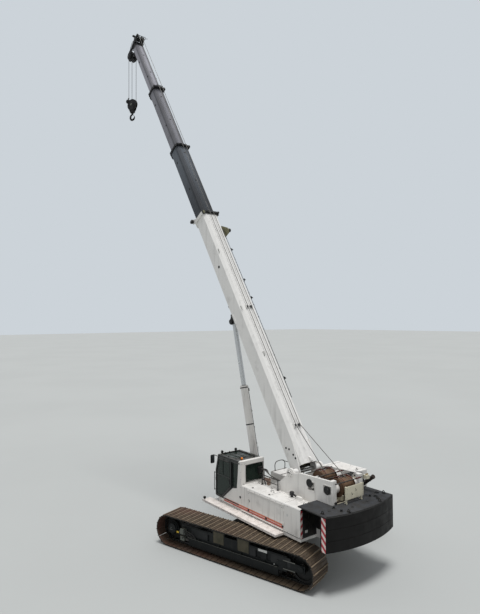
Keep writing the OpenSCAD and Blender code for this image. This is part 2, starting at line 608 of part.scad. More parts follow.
// A sheave of the given rope line radius
module sheave(r, t) difference() {
  cylinder(r = r + 12, h = t, center = true);
  rotate_extrude() translate([r, 0]) circle(rope_r + fit, $fn = 24);
  rotate_extrude() translate([r, 0]) polygon([[0, -rope_r - fit], [20, -rope_r - 8], [20, rope_r + 8], [0, rope_r + fit]]);
}
module head_sheaves() color("#232426") on_boom() translate([head_low[0], 0, head_low[1]]) rotate([90, 0, 0]) {
  for (k = [-1, 1]) translate([0, 0, k * fall_y]) sheave(sheave_r, 60);
  cylinder(r = 70, h = 330, center = true);
  cylinder(r = 40, h = 2 * head_y + 24, center = true);
}
module idler_sheaves() color("#232426") on_boom() translate([head_top[0], 0, head_top[1]]) rotate([90, 0, 0]) {
  for (k = [-1, 1]) translate([0, 0, k * fall_y]) sheave(idler_r, 60);
  cylinder(r = 60, h = 330, center = true);
  cylinder(r = 35, h = 2 * head_y + 24, center = true);
}
fall_top = [foot_x + head_low[0] * cos(boom_angle) - head_low[1] * sin(boom_angle),
  foot_z + head_low[0] * sin(boom_angle) + head_low[1] * cos(boom_angle)];
module at_fall() translate([fall_top[0], 0, fall_top[1]]) children();
module hoist_falls() color("#2a2a2a") at_fall() {
  for (k = [-1, 1]) translate([k * sheave_r, k * fall_y, -fall_l]) cylinder(r = rope_r, h = fall_l);
}
module at_block() at_fall() translate([0, 0, -fall_l]) rotate([0, 0, atan2(fall_y, sheave_r)]) children();
block_r = norm([fall_y, sheave_r]);
module hook_block() color("#131416") at_block() {
  for (e = [-1, 1]) translate([0, e * 65 + 15, 0]) rotate([90, 0, 0]) linear_extrude(30) difference() {
    union() {
      circle(block_r + 30);
      polygon([[-(block_r + 25), -30], [block_r + 25, -30], [90, -430], [-90, -430]]);
    }
    circle(45 + fit);
  }
  difference() {
    translate([-100, -51, -450]) cube([200, 102, 120]);
    translate([0, 0, -460]) cylinder(r = 45 + fit, h = 140);
  }
}
module block_sheave() color("#232426") at_block() rotate([90, 0, 0]) {
  sheave(block_r, 60);
  cylinder(r = 45, h = 150, center = true);
}
module hook() color("#161719") at_block() {
  translate([0, 0, -520]) cylinder(r = 45, h = 180);
  translate([0, 0, -665]) rotate([90, 0, 0]) rotate([0, 0, -160]) rotate_extrude(angle = 250) translate([150, 0]) circle(46);
}

// Lift cylinder between the deck's ears and the lug under the base section
lug_at = [foot_x + lug_s * cos(boom_angle) - lug_n * sin(boom_angle),
  foot_z + lug_s * sin(boom_angle) + lug_n * cos(boom_angle)];
cyl_l = norm(lug_at - cyl_base);
cyl_angle = atan2(lug_at[1] - cyl_base[1], lug_at[0] - cyl_base[0]);
low_lug = [foot_x + lug_s, foot_z + lug_n];
closed_l = norm(low_lug - cyl_base);
barrel_l = closed_l - 150;
rod_l = closed_l - 120;
module on_cylinder() translate([cyl_base[0], 0, cyl_base[1]]) rotate([0, -cyl_angle, 0]) children();
module lift_barrel() color("#ecebe7") on_cylinder() {
  difference() {
    union() {
      translate([90, 0, 0]) rotate([0, 90, 0]) cylinder(r = barrel_r, h = barrel_l - 90);
      translate([barrel_l - 90, 0, 0]) rotate([0, 90, 0]) cylinder(r = barrel_r + 16, h = 90);
      rotate([90, 0, 0]) cylinder(r = 120, h = 380, center = true);
    }
    translate([112, 0, 0]) rotate([0, 90, 0]) cylinder(r = barrel_r - 18, h = barrel_l - 180);
    translate([112, 0, 0]) rotate([0, 90, 0]) cylinder(r = rod_r + fit, h = barrel_l);
    rotate([90, 0, 0]) cylinder(r = cyl_pin_r + fit, h = 500, center = true);
  }
}
module lift_rod() color("#c9ccce") on_cylinder() {
  difference() {
    union() {
      translate([cyl_l - rod_l, 0, 0]) rotate([0, 90, 0]) cylinder(r = rod_r, h = rod_l - 60);
      translate([cyl_l, 0, 0]) rotate([90, 0, 0]) cylinder(r = 105, h = 200, center = true);
    }
    translate([cyl_l, 0, 0]) rotate([90, 0, 0]) cylinder(r = cyl_pin_r + fit, h = 500, center = true);
  }
}
module lug_pin() color("#b9b9b9") on_boom() translate([lug_s, 0, lug_n]) rotate([90, 0, 0])
  cylinder(r = cyl_pin_r, h = 360, center = true);

// The frame's origin lies at the middle of the box's floor
mid_x = (fall_top[0] + 280 + slew_x - tail_r) / 2;
module place() translate([-mid_x, 0, 0]) children();

place() carbody();
place() slewing_ring();
place() side_frame(1);  // side_frame_left
place() side_frame(-1);  // side_frame_right
place() track(1);  // track_left
place() track(-1);  // track_right
place() drive(1);  // drive_left
place() drive(-1);  // drive_right
place() rollers(1);  // rollers_left
place() rollers(-1);  // rollers_right
place() deck();
place() walkway(house_y, walk_front);  // walkway_left
place() walkway(-right_y, right_front);  // walkway_right
place() winch_frame();
place() left_housing();
place() left_door();
place() right_housing();
place() right_door();
place() engine();
place() exhaust();
place() fuel_tank();
place() counterweight();
place() counterweight_deck();
place() rear_plate();
place() cab_frame();
place() cab_back();
place() cab_glass();
place() cab_seat();
place() cab_console();
place() cab_door();
place() door_glass();
place() handrails();
place() main_winch();
place() aux_winch();
place() lift_barrel();
place() lift_rod();
place() foot_pin();
place() lug_pin();
place() boom_base();
place() boom_inner();
place() boom_outer();
place() boom_tip();
place() base_collar();
place() inner_collar();
place() outer_collar();
place() boom_head();
place() head_sheaves();
place() idler_sheaves();
place() hoist_falls();
place() hook_block();
place() block_sheave();
place() hook();
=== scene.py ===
"""Looks of the crawler crane: materials, fittings, ropes, floor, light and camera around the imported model."""
from math import acos, asin, atan2, cos, degrees, hypot, pi, radians, sin, tan

import bmesh
import bpy
from mathutils import Matrix, Vector


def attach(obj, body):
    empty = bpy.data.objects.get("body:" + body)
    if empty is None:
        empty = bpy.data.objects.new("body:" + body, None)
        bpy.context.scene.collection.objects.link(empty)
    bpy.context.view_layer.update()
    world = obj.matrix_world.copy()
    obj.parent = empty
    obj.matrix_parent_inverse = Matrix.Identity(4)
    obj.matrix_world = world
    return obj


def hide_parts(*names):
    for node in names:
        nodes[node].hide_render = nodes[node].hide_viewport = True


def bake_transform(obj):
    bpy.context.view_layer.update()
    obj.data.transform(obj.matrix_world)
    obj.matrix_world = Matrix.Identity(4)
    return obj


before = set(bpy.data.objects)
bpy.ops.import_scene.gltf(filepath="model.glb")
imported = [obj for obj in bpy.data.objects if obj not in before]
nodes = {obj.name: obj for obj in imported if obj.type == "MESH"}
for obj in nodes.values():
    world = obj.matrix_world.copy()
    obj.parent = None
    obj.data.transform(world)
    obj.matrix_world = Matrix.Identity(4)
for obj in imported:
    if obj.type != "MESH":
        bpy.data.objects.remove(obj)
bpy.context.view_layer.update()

# Sizes of the machine in millimetres
SLEW_X = 230.0
SLEW_TURN, BOOM_ANGLE = radians(16.5), radians(57.8)
FOOT = Vector((-1425, 0, 2725))
CYL_BASE, CYL_ANGLE = Vector((985, 0, 1600)), radians(76.348236)
BASE_END, INNER_END, OUTER_END, TIP_END = 11030, 15150, 19320, 23130.0
HEAD_LOW, HEAD_TOP = (23180.0, -700.0), (23240.0, 330.0)
SHEAVE_R, IDLER_R, ROPE_R = 250.0, 145.0, 11.0
LOOP_R, LOOP_HALF, LINK_OUT, LINK_IN, PITCH_R = 525.0, 2525.0, 471.0, 411.0, 487.0
TRACK_GAUGE, SHOE_W, SHOES = 4530.0, 914.0, 62
FALL_L, FALL_Y = 2630.0, 92.0
FALL_TOP = Vector((FOOT.x + HEAD_LOW[0] * cos(BOOM_ANGLE) - HEAD_LOW[1] * sin(BOOM_ANGLE), 0,
                   FOOT.z + HEAD_LOW[0] * sin(BOOM_ANGLE) + HEAD_LOW[1] * cos(BOOM_ANGLE)))
BLOCK_R = hypot(FALL_Y, SHEAVE_R)

# Frames of the machine, from millimetres in its own axes to metres in the row's
MM = Matrix.Scale(0.001, 4)
MID_X = 3.8972036
UPPER = Matrix.Translation((-MID_X, 0, 0)) @ MM
LOWER = UPPER @ Matrix.Translation((SLEW_X, 0, 0)) @ Matrix.Rotation(SLEW_TURN, 4, "Z")
BOOM = UPPER @ Matrix.Translation(FOOT) @ Matrix.Rotation(-BOOM_ANGLE, 4, "Y")
CYLINDER = UPPER @ Matrix.Translation(CYL_BASE) @ Matrix.Rotation(-CYL_ANGLE, 4, "Y")
FALL_LOW = FALL_TOP - Vector((0, 0, FALL_L))
BLOCK = UPPER @ Matrix.Translation(FALL_LOW) @ Matrix.Rotation(atan2(FALL_Y, SHEAVE_R), 4, "Z")

# Ways in the frames; across a track's side frame, z runs inward
AHEAD, BACK, LEFT, RIGHT, UP, DOWN = (1, 0, 0), (-1, 0, 0), (0, 1, 0), (0, -1, 0), (0, 0, 1), (0, 0, -1)
INWARD, OUTWARD = UP, DOWN


def side_frame(side):
    """The frame of track 1, left, or -1, right: X forward, Y up from the loop's middle, Z inward."""
    turn = LOWER @ Matrix.Translation((0, side * TRACK_GAUGE / 2, LOOP_R)) @ Matrix.Rotation(pi / 2, 4, "X")
    return turn if side > 0 else turn @ Matrix.Scale(-1, 4, UP)


# Materials

def srgb(r, g, b):
    """A colour of 0 to 255 steps as linear light."""
    def lin(c):
        c /= 255
        return c / 12.92 if c <= 0.04045 else ((c + 0.055) / 1.055) ** 2.4
    return (lin(r), lin(g), lin(b), 1)


class Nodes:
    """A material's node tree under construction."""
    def __init__(self, name):
        self.mat = bpy.data.materials.new(name)
        self.mat.use_nodes = True
        self.tree = self.mat.node_tree
        self.bsdf = self.tree.nodes["Principled BSDF"]
        self.place = self.add("ShaderNodeTexCoord").outputs["Object"]

    def add(self, kind, **inputs):
        """A node; inputs are settings, or sockets by name with _ for a space, and values or sockets."""
        node = self.tree.nodes.new(kind)
        for key, value in inputs.items():
            if hasattr(node, key):
                setattr(node, key, value)
            else:
                self.link(value, node.inputs[key.replace("_", " ")])
        return node

    def link(self, value, socket):
        if isinstance(value, bpy.types.NodeSocket):
            self.tree.links.new(value, socket)
        else:
            socket.default_value = value

    def math(self, op, a, b=0.0, clamp=False):
        node = self.tree.nodes.new("ShaderNodeMath")
        node.operation, node.use_clamp = op, clamp
        self.link(a, node.inputs[0])
        if len(node.inputs) > 1:
            self.link(b, node.inputs[1])
        return node.outputs[0]

    def times(self, a, b):
        return self.math("MULTIPLY", a, b)

    def mix(self, share, a, b):
        node = self.tree.nodes.new("ShaderNodeMix")
        node.data_type = "RGBA"
        self.link(share, node.inputs[0])
        self.link(a, node.inputs[6])
        self.link(b, node.inputs[7])
        return node.outputs[2]

    def ramp(self, value, low, high, out=(0.0, 1.0)):
        """value from low to high as out, smoothly."""
        node = self.add("ShaderNodeMapRange", interpolation_type="SMOOTHSTEP", Value=value)
        for i, v in zip((1, 2, 3, 4), (low, high, *out)):
            node.inputs[i].default_value = v
        return node.outputs[0]

    def noise(self, scale, detail=4.0, stretch=(1, 1, 1), rough=0.55):
        """Noise over the resting object, its features drawn out by stretch."""
        spot = self.add("ShaderNodeMapping", Vector=self.place, Scale=[1 / s for s in stretch])
        return self.add("ShaderNodeTexNoise", Vector=spot.outputs[0], Scale=scale, Detail=detail,
                        Roughness=rough).outputs["Fac"]

    def dot(self, vector):
        """A dot product with its first vector given."""
        node = self.add("ShaderNodeVectorMath", operation="DOT_PRODUCT")
        self.link(vector, node.inputs[0])
        return node

    def axes(self, world_from_local):
        """The three coordinates of a point in a frame of the machine, as sockets."""
        m = world_from_local.inverted()
        out = []
        for row in range(3):
            dot = self.dot(self.place)
            dot.inputs[1].default_value = m[row][:3]
            out.append(self.math("ADD", dot.outputs["Value"], m[row][3]))
        return out

    def band(self, value, low, high, soft=1.0):
        """1 where value lies between low and high."""
        rise = self.ramp(value, low - soft, low + soft)
        return self.times(rise, self.ramp(value, high - soft, high + soft, (1.0, 0.0)))

    def edges(self, radius=0.012):
        """1 along the edges of the form."""
        round_normal = self.add("ShaderNodeBevel", samples=4, Radius=radius).outputs[0]
        flat_normal = self.add("ShaderNodeNewGeometry").outputs["Normal"]
        dot = self.dot(round_normal)
        self.link(flat_normal, dot.inputs[1])
        return self.ramp(dot.outputs["Value"], 0.99, 0.8)

    def tinted(self, colour, tint, patch):
        """The colour a little darker and paler by large patches."""
        darker = [c * (1 - tint) for c in colour[:3]] + [1]
        paler = [min(1, c * (1 + tint)) for c in colour[:3]] + [1]
        return self.mix(self.ramp(self.noise(patch, 5.0), 0.35, 0.65), darker, paler)

    def streaked(self, base, streak, grime):
        """Grime in runs down the sides and in spots."""
        runs = self.ramp(self.noise(9.0, 3.0, (1, 1, 16)), 0.52, 0.78, (0.0, streak))
        spots = self.ramp(self.noise(2.3, 6.0), 0.55, 0.8, (0.0, streak * 0.8))
        return self.mix(self.math("ADD", runs, spots, True), base, grime)

    def dusted(self, base, dust, colour):
        """Dust on what faces up."""
        normal = self.add("ShaderNodeNewGeometry").outputs["Normal"]
        up = self.add("ShaderNodeSeparateXYZ", Vector=normal).outputs[2]
        share = self.times(self.ramp(up, 0.2, 0.9, (0.0, dust)), self.ramp(self.noise(5.0, 6.0), 0.3, 0.75))
        return self.mix(share, base, colour)

    def worn(self, base, wear, wear_at):
        """Another colour along the edges, in patches."""
        patches = self.ramp(self.noise(14.0, 6.0), wear_at, wear_at + 0.15)
        return self.mix(self.times(self.edges(), patches), base, wear)


GRIME, DUST = srgb(70, 62, 52), srgb(150, 138, 120)


def finish(name, colour, rough=0.5, metal=0.0, tint=0.06, grime=GRIME, streak=0.0, dust=0.0,
           dust_colour=DUST, wear=None, wear_at=0.4, bump=0.02, grain=60.0, coat=0.0, extra=None, shine=0.5):
    """A weathered surface: tinted, painted by extra, streaked, dusted and worn, each where asked for."""
    n = Nodes(name)
    base = n.tinted(colour, tint, 0.5)
    if extra:
        base = extra(n, base)
    if streak:
        base = n.streaked(base, streak, grime)
    if dust:
        base = n.dusted(base, dust, dust_colour)
    if wear:
        base = n.worn(base, wear, wear_at)
    n.link(base, n.bsdf.inputs["Base Color"])
    shades = (max(0.05, rough - 0.08), min(1.0, rough + 0.1))
    n.link(n.ramp(n.noise(3.1, 4.0), 0.3, 0.7, shades), n.bsdf.inputs["Roughness"])
    n.bsdf.inputs["Metallic"].default_value = metal
    n.bsdf.inputs["Specular IOR Level"].default_value = shine
    if coat:
        n.bsdf.inputs["Coat Weight"].default_value = coat
        n.bsdf.inputs["Coat Roughness"].default_value = 0.25
    if bump:
        node = n.add("ShaderNodeBump", Strength=0.35, Distance=bump, Height=n.noise(grain, 5.0))
        n.link(node.outputs[0], n.bsdf.inputs["Normal"])
    return n.mat


# Shapes

def rect(x0, y0, x1, y1):
    """A rectangle's outline."""
    return [(x0, y0), (x1, y0), (x1, y1), (x0, y1)]


def taper(x0, x1, y0, x2, x3, y1):
    """An outline from x0 to x1 at y0 and from x2 to x3 at y1."""
    return [(x0, y0), (x1, y0), (x3, y1), (x2, y1)]


def disc(r, h):
    """A flat disc's profile for a lathe."""
    return [(r, 0), (r, h), (0, h)]


def cap(r, h, face_r, face_h):
    """A cap's profile for a lathe: a side of height h, drawn in to its face."""
    return [(r, 0), (r, h), (face_r, face_h), (0, face_h)]


def circle(n, r, start=0):
    """n points spread evenly round a circle of radius r, from start degrees."""
    turns = [radians(start + 360 / n * k) for k in range(n)]
    return [(r * cos(a), r * sin(a)) for a in turns]


def rounded(x0, y0, x1, y1, r, n=4):
    """A rectangle's outline with its corners rounded."""
    out = []
    corners = ((x1 - r, y1 - r, 0), (x0 + r, y1 - r, 90), (x0 + r, y0 + r, 180), (x1 - r, y0 + r, 270))
    for cx, cy, start in corners:
        for i in range(n + 1):
            a = radians(start + 90 * i / n)
            out.append((cx + r * cos(a), cy + r * sin(a)))
    return out


def smooth_path(pts, steps, closed=False):
    """A smooth curve through points, steps to a stretch."""
    if steps < 2 or len(pts) < 3:
        return pts
    out, n = [], len(pts)
    for i in range(n if closed else n - 1):
        p0 = pts[i - 1] if closed or i else pts[0] * 2 - pts[1]
        p1, p2 = pts[i], pts[(i + 1) % n]
        p3 = pts[(i + 2) % n] if closed or i + 2 < n else p2 * 2 - p1
        for k in range(steps):
            t = k / steps
            out.append(0.5 * (2 * p1 + (p2 - p0) * t + (2 * p0 - 5 * p1 + 4 * p2 - p3) * t * t
                              + (3 * p1 - p0 - 3 * p2 + p3) * t ** 3))
    return out if closed else out + [pts[-1]]


EDGE_ANGLE = radians(35)
PLACES = {"z": lambda u, v, w: (u, v, w), "y": lambda u, v, w: (u, w, v), "x": lambda u, v, w: (w, u, v)}


class Shape:
    """One piece of mesh under construction, drawn in millimetres in a frame of the machine."""
    def __init__(self, name, at):
        self.name, self.at, self.bm, self.mats = name, at, bmesh.new(), []

    def slot(self, mat):
        if mat not in self.mats:
            self.mats.append(mat)
        return self.mats.index(mat)

    def mesh(self, points, faces, mat):
        k = self.slot(mat)
        verts = [self.bm.verts.new(self.at @ Vector(p)) for p in points]
        for f in faces:
            self.bm.faces.new([verts[i] for i in f]).material_index = k

    def prism(self, outline, a, b, mat, axis="z", inset=0.0):
        """outline drawn out from a to b along an axis; inset draws the far end in by that share."""
        mid = [sum(p[i] for p in outline) / len(outline) for i in (0, 1)]
        far = [[mid[i] + (p[i] - mid[i]) * (1 - inset) for i in (0, 1)] for p in outline]
        place, n = PLACES[axis], len(outline)
        sides = [[i, (i + 1) % n, n + (i + 1) % n, n + i] for i in range(n)]
        self.mesh([place(*p, a) for p in outline] + [place(*p, b) for p in far],
                  [list(range(n)), list(range(n, 2 * n))] + sides, mat)

    def box(self, lo, hi, mat):
        self.prism(rect(lo[0], lo[1], hi[0], hi[1]), lo[2], hi[2], mat)

    def lathe(self, profile, centre, axis, mat, n=24):
        """profile [(radius, place along the axis), ...] turned about the axis through centre."""
        axis = Vector(axis).normalized()
        u = axis.orthogonal().normalized()
        v = axis.cross(u)
        centre, k = Vector(centre), self.slot(mat)
        angles = [2 * pi * i / n for i in range(n)]
        rings = []
        for r, t in profile:
            spots = [centre + axis * t]
            if r > 0:
                spots = [centre + axis * t + (u * cos(a) + v * sin(a)) * r for a in angles]
            rings.append([self.bm.verts.new(self.at @ p) for p in spots])
        for p, q in zip(rings, rings[1:]):
            for i in range(n):
                j = (i + 1) % n
                quad = [p[i % len(p)], p[j % len(p)], q[j % len(q)], q[i % len(q)]]
                quad = [x for c, x in enumerate(quad) if x not in quad[:c]]
                if len(quad) > 2:
                    self.bm.faces.new(quad).material_index = k

    def rod(self, a, b, r, mat, n=16):
        a, b = Vector(a), Vector(b)
        length = (b - a).length
        self.lathe(rect(0, 0, r, length), a, b - a, mat, n)

    def bolt(self, at, axis, r, mat):
        """A hexagon bolt's head on its washer."""
        self.lathe([(r * 1.35, 0), (r * 1.35, r * 0.25), (r * 0.6, r * 0.25)], at, axis, mat, 10)
        self.lathe(cap(r, r * 0.85, r * 0.8, r * 1.0), at, axis, mat, 6)

    def bolts(self, spots, axis, r, mat):
        for at in spots:
            self.bolt(at, axis, r, mat)

    def tube(self, path, r, mat, n=8, closed=False, steps=6):
        """A round bar or hose along a smooth path through the points, with one radius or one for each."""
        pts = smooth_path([Vector(p) for p in path], steps, closed)
        k = self.slot(mat)
        if isinstance(r, list):
            thick = [v.x for v in smooth_path([Vector((v, 0, 0)) for v in r], steps, closed)]
        else:
            thick = [r] * len(pts)
        angles = [2 * pi * j / n for j in range(n)]
        rings, side = [], None
        for i, p in enumerate(pts):
            ahead = pts[(i + 1) % len(pts)] if closed or i + 1 < len(pts) else p
            behind = pts[i - 1] if closed or i else p
            t = (ahead - behind).normalized()
            side = t.orthogonal() if side is None else side - t * side.dot(t)
            side.normalize()
            other = t.cross(side)
            spots = [p + (side * cos(a) + other * sin(a)) * thick[i] for a in angles]
            rings.append([self.bm.verts.new(self.at @ spot) for spot in spots])
        for p, q in list(zip(rings, rings[1:])) + ([(rings[-1], rings[0])] if closed else []):
            for i in range(n):
                j = (i + 1) % n
                self.bm.faces.new([p[i], p[j], q[j], q[i]]).material_index = k
        if not closed:
            for end in (rings[0], rings[-1]):
                self.bm.faces.new(end).material_index = k

    def done(self, body, bevel=4.0, segments=2, slot=None):
        """The piece with its edges rounded by bevel millimetres, riding on a body."""
        bmesh.ops.recalc_face_normals(self.bm, faces=self.bm.faces)
        mesh = bpy.data.meshes.new(self.name)
        self.bm.to_mesh(mesh)
        self.bm.free()
        for mat in self.mats:
            mesh.materials.append(mat)
        mesh.shade_smooth()
        mesh.set_sharp_from_angle(angle=EDGE_ANGLE)
        obj = bpy.data.objects.new(self.name, mesh)
        bpy.context.scene.collection.objects.link(obj)
        if bevel:
            soften(obj, bevel, segments)
        if body:
            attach(obj, body)
        return obj


def soften(obj, width, segments=2):
    """Rounds an object's edges by width millimetres."""
    mod = obj.modifiers.new("edges", "BEVEL")
    mod.width, mod.segments, mod.limit_method = width / 1000, segments, "ANGLE"
    mod.angle_limit, mod.harden_normals = EDGE_ANGLE, True
    mod.miter_outer = "MITER_ARC"


def paint(name, mat, width):
    """Gives a CAD node its material, and rounds its edges by width millimetres."""
    obj = nodes[name]
    obj.data.materials.clear()
    obj.data.materials.append(mat)
    if width:
        weld = obj.modifiers.new("weld", "WELD")
        weld.merge_threshold = 0.0001
        soften(obj, width)


# Finishes painted in places

def red_stripe(n, base):
    """The red stripe that runs back from the cab along the left housing, darker towards its lower edge."""
    x, y, z = n.axes(UPPER)
    side = n.ramp(y, 1330, 1345)
    upper = n.times(n.band(z, 1338, 1398, 2), n.band(x, -1780, 1190, 4))
    lower = n.times(n.band(z, 1272, 1326, 2), n.band(x, -1820, 760, 4))
    front = n.times(n.band(z, 1282, 1330, 2), n.band(x, 700, 1290, 4))
    both = n.math("MAXIMUM", upper, n.math("MAXIMUM", lower, front))
    red = n.mix(n.ramp(z, 1300, 1380), srgb(176, 62, 44), srgb(205, 112, 84))
    return n.mix(n.times(both, side), base, red)


def warning(flip, pitch=210.0):
    """Slanting red and white bars."""
    def bars(n, base):
        x, y, z = n.axes(UPPER)
        run = n.math("ADD", n.math("ADD", x, y), n.times(z, flip))
        share = n.math("FRACT", n.math("DIVIDE", run, pitch))
        return n.mix(n.band(share, 0.25, 0.75, 0.02), srgb(222, 206, 200), srgb(168, 34, 48))
    return bars


def rib_wear(side):
    """Bare steel on the shoes' ribs, which stand furthest from the loop's middle."""
    def worn(n, base):
        u, v, w = n.axes(side_frame(side))
        past = n.math("MAXIMUM", n.math("SUBTRACT", n.math("ABSOLUTE", u), LOOP_HALF), 0.0)
        far = n.math("SQRT", n.math("ADD", n.times(past, past), n.times(v, v)))
        share = n.times(n.ramp(far, LOOP_R - 6, LOOP_R - 2), n.ramp(n.noise(6.0, 5.0), 0.2, 0.5))
        rust = n.ramp(n.noise(0.6, 3.0), 0.4, 0.6, (0.0, 0.7))
        base = n.mix(n.times(rust, n.ramp(u, -800, 1800)), base, srgb(92, 60, 50))
        ends = n.ramp(n.math("ABSOLUTE", w), SHOE_W / 2 - 5, SHOE_W / 2 - 2)
        return n.mix(ends, n.mix(share, base, srgb(146, 128, 106)), srgb(24, 22, 20))
    return worn


def beam_ends(n, base):
    """Brown dust on the cross beams' outer ends."""
    y = n.axes(LOWER)[1]
    share = n.ramp(n.math("ABSOLUTE", y), 2470, 2485)
    brown = n.mix(n.ramp(n.noise(4.0, 5.0), 0.3, 0.7), srgb(62, 60, 46), srgb(82, 76, 60))
    return n.mix(share, base, brown)


def housing_rear(n, base):
    """Black paint on the left housing's rear face, behind which the air outlet lies."""
    x = n.axes(UPPER)[0]
    return n.mix(n.ramp(x, -2574, -2570, (1.0, 0.0)), red_stripe(n, base), srgb(20, 18, 17))


def lug_black(n, base):
    """Black on the lift cylinder's lugs below the boom."""
    up = n.axes(BOOM)[2]
    return n.mix(n.ramp(up, -520, -514, (1.0, 0.0)), base, srgb(20, 20, 22))


def collar_black(n, base):
    """Black on the white collar's upper side, where the ropes run over it."""
    up = n.axes(BOOM)[2]
    return n.mix(n.ramp(up, 330, 336), base, srgb(30, 31, 28))


def corner_shade(width, top, black_from=None, fade=0.0):
    """Painted shade on a boom section's two upper corners, darker towards its lower end, and black paint from a
    place onwards.
    """
    def shade(n, base):
        s, y, up = n.axes(BOOM)
        # painted shade: a dark band along the section's two upper corners
        corner = width * 0.37 + top
        share = n.ramp(n.math("ADD", n.math("ABSOLUTE", y), up), corner - 150, corner - 15, (0.0, 0.6))
        base = n.mix(share, base, srgb(22, 22, 26))
        if fade:
            base = n.mix(n.ramp(s, BASE_END, INNER_END, (fade, 0.0)), base, srgb(26, 28, 32))
        return n.mix(n.ramp(s, black_from, black_from + 4), base, srgb(20, 20, 22)) if black_from else base
    return shade


def frame_recess(n, base):
    """Black on the winch frame's low rear side, above the counterweight's deck."""
    x, _, z = n.axes(UPPER)
    low = n.times(n.ramp(z, 2185, 2190, (1.0, 0.0)), n.ramp(x, -2577, -2570, (1.0, 0.0)))
    return n.mix(low, base, srgb(18, 17, 16))


def clear_glass(name):
    """Green tinted glass."""
    pane = Nodes(name)
    for key, value in (("Base Color", srgb(50, 66, 58)), ("Roughness", 0.06), ("Transmission Weight", 0.55),
                       ("IOR", 1.3)):
        pane.bsdf.inputs[key].default_value = value
    return pane.mat


WHITE = srgb(224, 221, 216)
WHITE_LOOK = dict(dust=0.10, tint=0.025, coat=0.15, bump=0.002, grain=9)
SECTION_LOOK = dict(streak=0.2, shine=0.3, bump=0.002, grain=8)
FRAME_LOOK = dict(shine=0.3, dust=0.14, streak=0.2, grime=srgb(44, 40, 34), dust_colour=srgb(58, 54, 46),
                  wear=srgb(66, 62, 54), wear_at=0.6, bump=0.004, grain=22)
TRACK_LOOK = dict(tint=0.14, streak=0.5, dust=0.35, grime=srgb(44, 36, 28), dust_colour=srgb(112, 98, 78),
                  wear=srgb(140, 124, 102), wear_at=0.5, bump=0.005, grain=40)

white = finish("white_paint", WHITE, 0.42, streak=0.30, **WHITE_LOOK)
white_hood = finish("white_hood", WHITE, 0.42, streak=0.30, extra=housing_rear, **WHITE_LOOK)
white_frame = finish("white_frame", WHITE, 0.42, streak=0.30, extra=frame_recess, **WHITE_LOOK)
white_boom = finish("white_boom", srgb(226, 224, 220), 0.4, streak=0.22, tint=0.02, coat=0.2, bump=0.002,
                    grain=7, extra=lug_black)
tread_white = finish("tread_white", srgb(226, 219, 213), 0.7, streak=0.3, dust=0.35, bump=0.012, grain=260)
cream = finish("cream_paint", srgb(206, 200, 178), 0.55, streak=0.35, dust=0.2, bump=0.004, grain=20)
black = finish("black_paint", srgb(20, 21, 22), 0.5, dust=0.25, streak=0.12, wear=srgb(70, 66, 60),
               wear_at=0.62, bump=0.003, grain=30)
black_frame = finish("black_frame", srgb(11, 16, 17), 0.55, **FRAME_LOOK)
carbody_black = finish("carbody_black", srgb(13, 17, 18), 0.55, extra=beam_ends, **FRAME_LOOK)
# Near-black for pockets, openings and holes: painted shade in place of their depth
pocket_shade = finish("pocket_shade", srgb(7, 11, 13), 0.6, streak=0.1, grime=srgb(30, 28, 24), bump=0.003,
                      grain=20)
# A pale grey for the side frame's ledge and the idler's guides
pale_line = finish("pale_edge_paint", srgb(104, 104, 98), 0.5, streak=0.5, grime=srgb(60, 58, 52), bump=0.002,
                   grain=40)
plate_white = finish("blank_plate", srgb(206, 206, 202), 0.45, streak=0.2, bump=0.001, grain=30)
grey_valve = finish("grey_valve", srgb(92, 96, 88), 0.5, dust=0.3, streak=0.4, bump=0.002, grain=40)
weight_black = finish("weight_black", srgb(9, 8, 7), 0.55, dust=0.06, streak=0.14, grime=srgb(30, 20, 16),
                      wear=srgb(44, 34, 28), wear_at=0.62, bump=0.006, grain=12, shine=0.22)
# The paler blue-grey on its upward faces is partly dust and partly a painted sheen of the sky
deck_grey = finish("deck_grey", srgb(50, 49, 48), 0.8, shine=0.3, dust=0.35, streak=0.4, tint=0.25, bump=0.01,
                   grain=180, grime=srgb(20, 20, 22), dust_colour=srgb(70, 76, 84))
white_collar = finish("white_collar", srgb(222, 220, 215), 0.45, streak=0.2, bump=0.002, grain=7,
                      extra=collar_black)
dark_grey = finish("boom_dark_grey", srgb(98, 104, 111), 0.55, extra=corner_shade(640, 323, fade=0.7), **SECTION_LOOK)
mid_grey = finish("boom_mid_grey", srgb(128, 128, 134), 0.55, extra=corner_shade(560, 261), **SECTION_LOOK)
light_grey = finish("boom_light_grey", srgb(156, 155, 162), 0.55, extra=corner_shade(480, 199, TIP_END - 262),
                    **SECTION_LOOK)
boom_black = finish("boom_black", srgb(13, 14, 17), 0.5, shine=0.35, streak=0.1, dust=0.06, bump=0.003,
                    grain=20)
cab_black = finish("cab_black", srgb(22, 27, 26), 0.35, dust=0.12, tint=0.04, bump=0.002, grain=15, coat=0.25)
rubber = finish("rubber", srgb(22, 22, 22), 0.75, dust=0.3, bump=0.004, grain=90)
seat_cloth = finish("seat_cloth", srgb(52, 53, 58), 0.9, tint=0.1, bump=0.008, grain=420)
grey_plastic = finish("grey_plastic", srgb(60, 62, 66), 0.6, tint=0.05, bump=0.002, grain=300)
iron = finish("engine_iron", srgb(104, 98, 82), 0.65, streak=0.5, dust=0.4, bump=0.01, grain=40)
greased = finish("greased_steel", srgb(60, 58, 54), 0.3, 0.7, streak=0.4, grime=srgb(26, 24, 20), bump=0.003,
                 grain=30)
dark_steel = finish("dark_steel", srgb(26, 28, 28), 0.5, 0.3, dust=0.25, streak=0.3, grime=srgb(48, 42, 36),
                    dust_colour=srgb(66, 60, 52), wear=srgb(112, 108, 100), wear_at=0.5, bump=0.004, grain=30)
machined = finish("machined_steel", srgb(170, 170, 168), 0.3, 0.9, streak=0.3, bump=0.001, grain=120)
